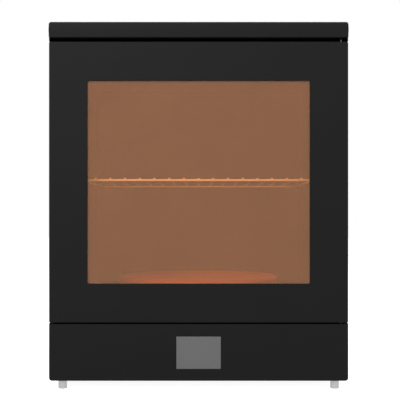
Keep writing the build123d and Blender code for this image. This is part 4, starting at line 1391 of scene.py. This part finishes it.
@dataclass
class Chamber:
    """The lit chamber: its lining, and a light module behind each side and the ceiling."""

    sheet_ease: float = 0.2 * MM
    lamp_edge: float = 0.35 * MM
    slope_share: float = 0.15
    body_share: float = 0.65
    lens_radius: float = 1.75 * MM
    lens_rows: int = 4
    lens_sides: int = 12

    def lamps(self) -> None:
        """Build the lamps: each a ceramic square with a round lens that faces the chamber."""
        draft = MeshDraft()
        middle = Extent.of("chamber_floor", "chamber_ceiling").centre
        rise = np.linspace(0.0, QUARTER_TURN, self.lens_rows)
        for box in islands("led_chips"):
            facing = min(Facing, key=lambda facing: box.half[facing.normal])
            place, half = box.centre[facing.normal], box.half[facing.normal]
            side = math.copysign(1.0, place - middle[facing.normal])
            back, step = place + side * half, -side * 2 * half
            shoulder = back + self.body_share * step
            outline = Outline.of(box, facing)
            reach = outline.half.max()
            run = [(reach, back), (0.0, back), (0.0, shoulder - self.slope_share * step)]
            run += [(self.lamp_edge, shoulder), (reach, shoulder)]
            draft.add(carried(outline, np.array(run), facing, steps=0))
            dome = oval(self.lens_radius, shoulder, (1 - self.body_share) * step, rise)
            lens = np.vstack([[[0.0, shoulder]], dome])
            draft.add(turned(lens, box.centre, facing, self.lens_sides), mark=1)
        publish(draft, "lamp_packages", "root", [Finishes.LAMP_BODY, Finishes.LAMP_LENS], "led_chips")

    def build(self) -> None:
        """Build the lining and the light modules."""
        for part in ("floor", "left_wall", "right_wall", "rear_wall", "ceiling"):
            eased(f"chamber_{part}", f"chamber_{part}_sheet", "root", Finishes.LINING, self.sheet_ease)
        self.lamps()
        eased("led_covers", "lamp_cover_sheets", "root", Finishes.COVER, self.sheet_ease)
        dress("root", Finishes.LAMP_BOARD, "led_boards")
        dress("root", Finishes.HEATSINK, "led_heatsink_left", "led_heatsink_right", "led_heatsink_top")


@dataclass
class WireRack:
    """The lift-out rack: a wire frame with cross wires welded on top, on four pegs."""

    frame_radius: float = 1.6 * MM
    wire_radius: float = 1.2 * MM
    corner: float = 12.0 * MM
    weld_radius: float = 1.45 * MM
    weld_base_share: float = 0.45
    weld_height_share: float = 0.95
    weld_rows: int = 7
    wire_sides: int = 12
    crease_degrees: float = 60.0
    collar_radius: float = 5.0 * MM
    collar_length: float = 2.0 * MM
    collar_edges: Span = (0.4 * MM, 0.3 * MM)
    peg_radius: float = 3.0 * MM
    peg_edge: float = 0.6 * MM
    peg_sides: int = 32

    def frame_loop(self) -> None:
        """Draw the frame's wire round its rounded rectangle."""
        box = Extent.of("rack_frame")
        outline = Outline.of(box, Facing.LEVEL, self.corner, -self.frame_radius)
        path = carried(outline, np.array([[0.0, box.centre[2]]]), Facing.LEVEL)[0]
        draft = MeshDraft()
        draft.add(drawn(path, self.frame_radius, UPWARD), loop_rows=True)
        crease = self.crease_degrees
        publish(draft, "rack_frame_loop", "rack", [Finishes.RACK], "rack_frame", crease_degrees=crease)

    def cross_wires(self) -> None:
        """Draw the cross wires, with a weld nugget where each meets the front and rear bars."""
        radius = self.wire_radius
        base = Extent.of("rack_frame").high[2] + self.weld_base_share * radius
        bow = np.linspace(-QUARTER_TURN, QUARTER_TURN, self.weld_rows)
        nugget = oval(self.weld_radius, base, self.weld_height_share * radius, bow)
        draft = MeshDraft()
        for box in islands("rack_wires"):
            x, _, z = box.centre
            front, rear = box.span(1)
            start, end = np.array([x, front + radius, z]), np.array([x, rear - radius, z])
            draft.add(rod(start, end, radius, UPWARD, self.wire_sides))
            for y in (front + self.weld_radius, rear - self.weld_radius):
                # Painted highlight: the beads take the chrome's pale copy, through mark 1.
                draft.add(turned(nugget, np.array([x, y, 0.0]), Facing.LEVEL, self.wire_sides), mark=1)
        # Painted shade: the cross wires take the chrome's dark copy.
        finishes, crease = [Finishes.RACK_WIRE, Finishes.WELD], self.crease_degrees
        publish(draft, "rack_cross_wires", "rack", finishes, "rack_wires", crease_degrees=crease)

    def pegs(self) -> None:
        """Turn the pegs, each with a collar against its wall and a rounded nose."""
        draft = MeshDraft()
        for box in islands("rack_pegs"):
            side = math.copysign(1.0, box.centre[0])
            nose, wall = box.span(0)[:: int(side)]
            step = wall - side * self.collar_length
            corners = [(0.0, wall), (self.collar_radius, wall), (self.collar_radius, step)]
            corners += [(self.peg_radius, step), (self.peg_radius, nose), (0.0, nose)]
            section = soften(corners, [0, 0, *self.collar_edges, self.peg_edge, 0], steps=4)
            draft.add(turned(section, box.centre, Facing.SIDE, self.peg_sides))
        publish(draft, "rack_peg_pins", "root", [Finishes.DARK_PIN], "rack_pegs")

    def build(self) -> None:
        """Build the rack and its pegs."""
        self.frame_loop()
        self.cross_wires()
        self.pegs()


@dataclass
class Turntable:
    """The disc that turns, with its hub and drive."""

    wall: float = 2.5 * MM
    shoulder: float = 4.0 * MM
    inner_edges: Point = (1.5 * MM, 0.5 * MM, 0.8 * MM)
    groove_inset: float = 0.8 * MM
    groove_width: float = 2.5 * MM
    groove_depth: float = 1.0 * MM
    hole_radius: float = 1.6 * MM
    sink_radius: float = 3.1 * MM
    cut_over: float = 1.0 * MM
    cut_merge: float = 0.03 * MM
    crease_degrees: float = 35.0
    section_steps: int = 8
    disc_sides: int = 160
    cone_sides: int = 32

    def disc(self) -> None:
        """Turn the disc, a shallow dish upside down, and sink its screw holes with three cones."""
        box = Extent.of("turntable_disc")
        radius, low, high = box.half[0], box.low[2], box.high[2]
        under, inside = high - self.wall, radius - self.wall
        outer = radius - self.shoulder - self.groove_inset
        corners = [(0.0, under), (inside, under), (inside, low), (radius, low), (radius, high), (outer, high)]
        corners += [(outer, high - self.groove_depth), (outer - self.groove_width, high), (0.0, high)]
        section = soften(corners, [0, *self.inner_edges, self.shoulder, 0, 0, 0, 0], self.section_steps)
        draft = MeshDraft(turned(section, box.centre, Facing.LEVEL, self.disc_sides))
        crease = self.crease_degrees
        disc = publish(
            draft, "turntable_plate", "turntable", [Finishes.DISC], "turntable_disc", crease_degrees=crease
        )
        above, below = high + self.cut_over, under - self.cut_over
        throat = high - self.sink_radius + self.hole_radius
        slope = [(0.0, above), (self.sink_radius + self.cut_over, above), (self.hole_radius, throat)]
        slope += [(self.hole_radius, below), (0.0, below)]
        cone, boxes = np.array(slope), islands("hub_screws")
        cones = MeshDraft(*(turned(cone, box.centre, Facing.LEVEL, self.cone_sides) for box in boxes))
        cutter = enter("sink_cutter", cones.mesh("sink_cutter"))
        cut = disc.modifiers.new("sinks", "BOOLEAN")
        cut.object, cut.operation, cut.solver = cutter, "DIFFERENCE", "EXACT"
        bpy.context.view_layer.update()
        solid = bpy.data.meshes.new_from_object(disc.evaluated_get(bpy.context.evaluated_depsgraph_get()))
        disc.modifiers.clear()
        disc.data = solid
        heal(solid, self.cut_merge)
        shade(disc, crease)
        bpy.data.objects.remove(cutter)

    def build(self) -> None:
        """Build the turntable and dress its drive."""
        self.disc()
        fasten("hub_screws", "hub_screws_flat", "turntable", Finishes.SCREW, Facing.LEVEL, flat_head=True)
        dress("turntable", Finishes.HEATSINK, "turntable_hub", "shaft_coupling")
        dress("turntable", Finishes.PIN, "turntable_shaft", "motor_shaft")
        dress("root", Finishes.HEATSINK, "bearing_housing", "gear_motor")
        dress("root", Finishes.PIN, "turntable_bearings")
        dress("root", Finishes.PRESSED, "motor_bracket")


@dataclass
class FingerGuard:
    """The fan's guard: round wire rings on two crossed wires, with an eyelet at each corner."""

    wire: float = 0.95 * MM
    clearance: float = 0.05 * MM
    ring_radii: tuple[float, ...] = (37.1 * MM, 29.1 * MM, 21.1 * MM, 13.1 * MM)
    hole_pitch: float = 71.5 * MM
    eyelet_radius: float = 3.0 * MM
    eyelet_hole: float = 1.6 * MM
    eyelet_height: float = 2 * MM
    eyelet_edge: float = 0.5 * MM
    ring_points: int = 72
    wire_sides: int = 10
    eyelet_sides: int = 24
    crease_degrees: float = 60.0

    def build(self) -> None:
        """Bend the guard."""
        box = Extent.of("fan_guard")
        centre = box.centre
        draft = MeshDraft()
        level = box.high[1] - self.wire - self.clearance
        for radius in self.ring_radii:
            path = stand(polar(radius, circle(self.ring_points)) + centre[[0, 2]], level, Facing.FRONT)
            draft.add(drawn(path, self.wire, OUTWARD, self.wire_sides), loop_rows=True)
        middle = np.array([centre[0], box.low[1] + self.wire + self.clearance, centre[2]])
        hole, rim, reach = self.eyelet_hole, self.eyelet_radius, self.hole_pitch / 2
        for slope in (-1, 1):
            corner = np.array([reach, 0.0, slope * reach])
            tip = corner - unit(corner) * (rim + hole) / 2
            draft.add(rod(middle - tip, middle + tip, self.wire, OUTWARD, self.wire_sides))
        back = box.low[1]
        front = back + self.eyelet_height
        corners = [(rim, back), (rim, front), (hole, front), (hole, back)]
        section = looped(corners, [self.eyelet_edge] * len(corners), steps=3)
        for side in (-1, 1):
            for up in (-1, 1):
                place = centre + np.array([side * reach, 0.0, up * reach])
                draft.add(turned(section, place, Facing.FRONT, self.eyelet_sides), loop_rows=True)
        crease = self.crease_degrees
        publish(draft, "finger_guard", "root", [Finishes.SCREW], "fan_guard", crease_degrees=crease)


@dataclass
class FanWheel:
    """The fan's rotor: a domed hub on its spindle, with cambered blades."""

    blade_count: int = 7
    blade_chord: float = 17.0 * MM
    root_chord_share: float = 0.8
    blade_camber: float = 1.6 * MM
    blade_thickness: float = 1.3 * MM
    blade_pitch_degrees: float = 38.0
    blade_twist: float = 0.25
    blade_sweep: float = 0.15
    blade_root: float = 0.5 * MM
    blade_setback: float = 0.5 * MM
    hub_radius: float = 17.0 * MM
    hub_offset: float = 4.5 * MM
    hub_edges: Span = (1.0 * MM, 2.0 * MM)
    tip_radius: float = 36.5 * MM
    spindle_radius: float = 1.5 * MM
    spindle_edge: float = 0.2 * MM
    blade_rows: int = 8
    blade_sides: int = 20

    def blade(self, turn: float, centre: np.ndarray) -> np.ndarray:
        """Work out one blade.

        Each section is an oval along the chord, lifted by a parabolic camber. The chord is pitched out of the
        fan's plane and wrapped round the hub, so that its angle about the axis is its length over the radius.

        Args:
            turn: the blade's angle about the axis.
            centre: the rotor's middle.

        Returns:
            A grid of points, one row for each section from root to tip.
        """
        loop = circle(self.blade_sides)[None, :]
        span = np.linspace(0.0, 1.0, self.blade_rows)[:, None]
        span = np.vstack([span[:1], span, span[-1:]])
        closing = np.ones_like(span)
        closing[[0, -1]] = 0.0
        root = self.hub_radius - self.blade_root
        radius = root + span * (self.tip_radius - root)
        share = self.root_chord_share + (1 - self.root_chord_share) * span
        chord = self.blade_chord * share * np.cos(loop) / 2
        off = self.blade_thickness / 2 * np.sin(loop) * closing + self.blade_camber * (1 - np.cos(loop) ** 2)
        pitch = math.radians(self.blade_pitch_degrees) - self.blade_twist * span
        across = chord * np.cos(pitch) - off * np.sin(pitch)
        depth = chord * np.sin(pitch) + off * np.cos(pitch)
        flat = polar(radius, turn + across / radius + self.blade_sweep * span)
        return stand(flat + centre[[0, 2]], centre[1] + depth, Facing.FRONT)

    def build(self) -> None:
        """Build the rotor."""
        box = Extent.of("fan_rotor")
        tip, rear = box.span(1)
        root, hub, spindle = tip + self.hub_offset, self.hub_radius, self.spindle_radius
        centre = Extent.of("fan_frame").centre
        centre[1] = (root + rear) / 2 - self.blade_setback
        corners = [(0.0, tip), (spindle, tip), (spindle, root), (hub, root), (hub, rear), (0.0, rear)]
        section = soften(corners, [0, self.spindle_edge, 0, *self.hub_edges, 0])
        draft = MeshDraft(turned(section, centre, Facing.FRONT))
        for blade in range(self.blade_count):
            draft.add(self.blade(blade * 2 * math.pi / self.blade_count, centre))
        publish(draft, "fan_blades", "fan_wheel", [Finishes.PLASTIC], "fan_rotor")


@dataclass
class Rocker:
    """The mains switch's rocker: two faces that meet in a shallow dip, on a cross pin."""

    axis_y: float = 0.185
    size: Point = (10.0 * MM, 5.5 * MM, 15.0 * MM)
    dip: float = 0.9 * MM
    tilt_degrees: float = 7.0
    side_edges: tuple[float, ...] = (0.4 * MM, 0.6 * MM, 6 * MM, 0.6 * MM, 0.4 * MM)
    ease: float = 0.4 * MM
    pin_half: Point = (7.0 * MM, 1.5 * MM, 1.5 * MM)
    pin_edges: Span = (0.2 * MM, 0.2 * MM)
    pin_sides: int = 20
    mark_sides: int = 32
    mark_levels: Span = (-0.05 * MM, 0.12 * MM)
    line: Point = (0.0, 0.32 * MM, 1.7 * MM)
    ring: Point = (1.25 * MM, 1.75 * MM, 0.0)

    def placed(self, side_view: np.ndarray, across: np.ndarray, axis: np.ndarray) -> np.ndarray:
        """Tip points of the rocker's own side view about its axis, and place them."""
        tipped = rotated(side_view, -math.radians(self.tilt_degrees))
        return stand(tipped + axis[1:], axis[0] + across, Facing.SIDE)

    def mark(self, up: int, size: Point, axis: np.ndarray) -> np.ndarray:
        """Work out a raised mark in the middle of one face.

        Args:
            up: 1 for the upper face, -1 for the lower one.
            size: the mark's inner and outer radius, and by how much its halves are drawn apart.
            axis: the rocker's axis at its middle.

        Returns:
            A grid of points.
        """
        inner, outer, apart = size
        thickness, half = self.size[1], self.size[2] / 2
        seat = np.array([thickness - self.dip / 2, up * half / 2])
        lean = math.atan2(self.dip, half)
        angle = circle(self.mark_sides)
        drawn_apart = np.sign(np.round(np.sin(angle), SINE_DIGITS)) * apart
        low, high = self.mark_levels
        rings = []
        for radius, level in ((inner, low), (outer, low), (outer, high), (inner, high)):
            profile = np.stack([np.full_like(angle, level), radius * np.sin(angle) + drawn_apart], axis=-1)
            rings.append(self.placed(seat + rotated(profile, -up * lean), radius * np.cos(angle), axis))
        return np.stack(rings)

    def build(self) -> None:
        """Build the cap on its pin, with a line and a ring on its faces."""
        box = Extent.of("power_rocker")
        axis = np.array([box.centre[0], self.axis_y, box.centre[2]])
        width, thickness, height = self.size
        half = height / 2
        corners = [(0.0, -half), (thickness, -half), (thickness - self.dip, 0.0), (thickness, half), (0.0, half)]
        loop = looped(corners, list(self.side_edges), steps=4)
        middle = np.array([thickness / 2, 0.0])
        inner = 1 - self.ease / half
        share = np.array([0.0, inner, 1.0, 1.0, inner, 0.0])
        side, eased_side = width / 2, width / 2 - self.ease
        across = np.array([-side, -side, -eased_side, eased_side, side, side])
        cap = self.placed(middle + share[:, None, None] * (loop[None] - middle), across[:, None], axis)
        pin = Extent(axis - self.pin_half, axis + self.pin_half)
        draft = MeshDraft(cap, post(pin, Facing.SIDE, self.pin_edges, steps=2, sides=self.pin_sides))
        publish(draft, "rocker_cap", "rocker", [Finishes.PLASTIC], "power_rocker")
        marks = MeshDraft(self.mark(1, self.line, axis))
        marks.add(self.mark(-1, self.ring, axis), loop_rows=True)
        publish(marks, "rocker_marks", "rocker", [Finishes.MARK])


class RearService:
    """What shows on the back: fan, finger guard, mains inlet and switch."""

    def build(self) -> None:
        """Build everything on the back."""
        FingerGuard().build()
        FanWheel().build()
        Rocker().build()
        eased("fan_frame", "fan_frame_moulded", "root", Finishes.PLASTIC)
        fasten("fan_screws", "fan_screws_cross", "root", Finishes.SCREW, Facing.FRONT)
        eased("power_inlet", "power_inlet_moulded", "root", Finishes.PLASTIC)
        eased("inlet_pins", "inlet_pin_blades", "root", Finishes.BRASS)
        eased("switch_housing", "switch_housing_moulded", "root", Finishes.PLASTIC)


class Internals:
    """Electronics in the base, which show only through the vents."""

    def build(self) -> None:
        """Dress the boards and the supply."""
        dress("root", Finishes.MAIN_BOARD, "main_board")
        dress("root", Finishes.BRASS, "board_standoffs")
        dress("root", Finishes.HEATSINK, "power_supply")


# ---------------------------------------------------------------- studio
@dataclass(frozen=True)
class Lamp:
    """A soft lamp that looks at the cabinet's middle, with its power in watts."""

    name: str
    place: Point
    size: Span
    power: float

    def hang(self) -> None:
        """Hang the lamp."""
        data = bpy.data.lights.new(self.name, "AREA")
        data.shape, data.energy = "RECTANGLE", self.power
        data.size, data.size_y = self.size
        lamp = enter(self.name, data)
        lamp.location = self.place
        middle = (CAD_BOX[0] + CAD_BOX[1]) / 2
        lamp.rotation_euler = (middle - lamp.location).to_track_quat("-Z", "Y").to_euler()


@dataclass
class Studio:
    """A pale floor, a white surround, soft lamps and the camera."""

    camera_distance: float = 1.13
    camera_height: float = 0.2306
    lens: float = 77.9
    sensor_width: float = 36.0
    shift: Span = (0.0035, 0.0348)
    surround: float = 0.35
    floor_tone: float = 0.6
    floor_shade: float = 0.98
    floor_roughness: float = 0.9
    floor_glow: float = 0.94
    floor_size: float = 14.0
    floor_points: int = 9
    fibre_size: float = 5 * MM
    lamps: tuple[Lamp, ...] = (
        Lamp("key_lamp", (-1.25, -2.3, 1.65), (1.5, 1.3), 64.0),
        Lamp("front_lamp", (-0.1, -2.5, 1.05), (0.7, 0.5), 12.0),
        Lamp("overhead_lamp", (0.0, 0.05, 2.0), (1.6, 1.0), 29.0),
        Lamp("fill_lamp", (1.9, -1.7, 0.9), (1.4, 1.2), 9.0),
        Lamp("back_lamp", (0.3, 1.8, 1.8), (1.6, 1.0), 20.0),
    )

    def camera(self) -> None:
        """Stand the camera level, straight in front of the door."""
        data = bpy.data.cameras.new("front_camera")
        data.lens, data.sensor_width = self.lens, self.sensor_width
        data.shift_x, data.shift_y = self.shift
        camera = enter("front_camera", data)
        camera.location = (0.0, Extent.of("door_skin").low[1] - self.camera_distance, self.camera_height)
        camera.rotation_euler = (QUARTER_TURN, 0.0, 0.0)
        bpy.context.scene.camera = camera

    def surroundings(self) -> None:
        """Light the world evenly, and show it white to the camera, to mirrors and through glass."""
        world = bpy.data.worlds.new("white_room")
        bpy.context.scene.world = world
        sheet = NodeSheet(world)
        plain, shown = (
            sheet.add("Background", Color=grey(1.0), Strength=strength).outputs[0] for strength in (self.surround, 1.0)
        )
        sheet.show(sheet.mix(sheet.seen(), plain, shown))

    def floor(self) -> None:
        """Lay the floor: pale paper that shows white and keeps the cabinet's shadow."""
        material = bpy.data.materials.new("studio_floor")
        sheet = NodeSheet(material)
        fibre = sheet.noise(self.fibre_size)
        paper = sheet.coat(
            Base_Color=sheet.ramp(fibre, grey(self.floor_tone * self.floor_shade), grey(self.floor_tone)),
            Roughness=self.floor_roughness,
            Specular_IOR_Level=0.0,
        )
        glow, white = (
            sheet.add("Emission", Color=grey(1.0), Strength=strength).outputs[0] for strength in (self.floor_glow, 1.0)
        )
        shown = sheet.mix(sheet.seen(), paper, sheet.blend("AddShader", paper, glow))
        sheet.show(sheet.mix(sheet.add("LightPath").outputs["Is Glossy Ray"], shown, white))
        reach = np.linspace(-self.floor_size / 2, self.floor_size / 2, self.floor_points)
        across, along = np.meshgrid(reach, reach)
        draft = MeshDraft()
        draft.add(np.stack([along, across, 0 * across], axis=-1), loop_columns=False)
        mesh = draft.mesh("studio_floor")
        if mesh.polygons[0].normal.z < 0:
            mesh.flip_normals()
        mesh.materials.append(material)
        enter("studio_floor", mesh)

    def build(self) -> None:
        """Set up the whole studio."""
        self.camera()
        self.surroundings()
        self.floor()
        for lamp in self.lamps:
            lamp.hang()
        bpy.context.scene.view_settings.view_transform = "Standard"


def main() -> None:
    """Build the studio and every sub-assembly in order."""
    logging.basicConfig(level=logging.INFO, format="%(name)s: %(message)s")
    Studio().build()
    for assembly in (
        Housing(),
        ControlPanel(),
        Door(),
        DoorFittings(),
        Chamber(),
        WireRack(),
        Turntable(),
        RearService(),
        Internals(),
    ):
        assembly.build()


if __name__ == "__main__":
    main()
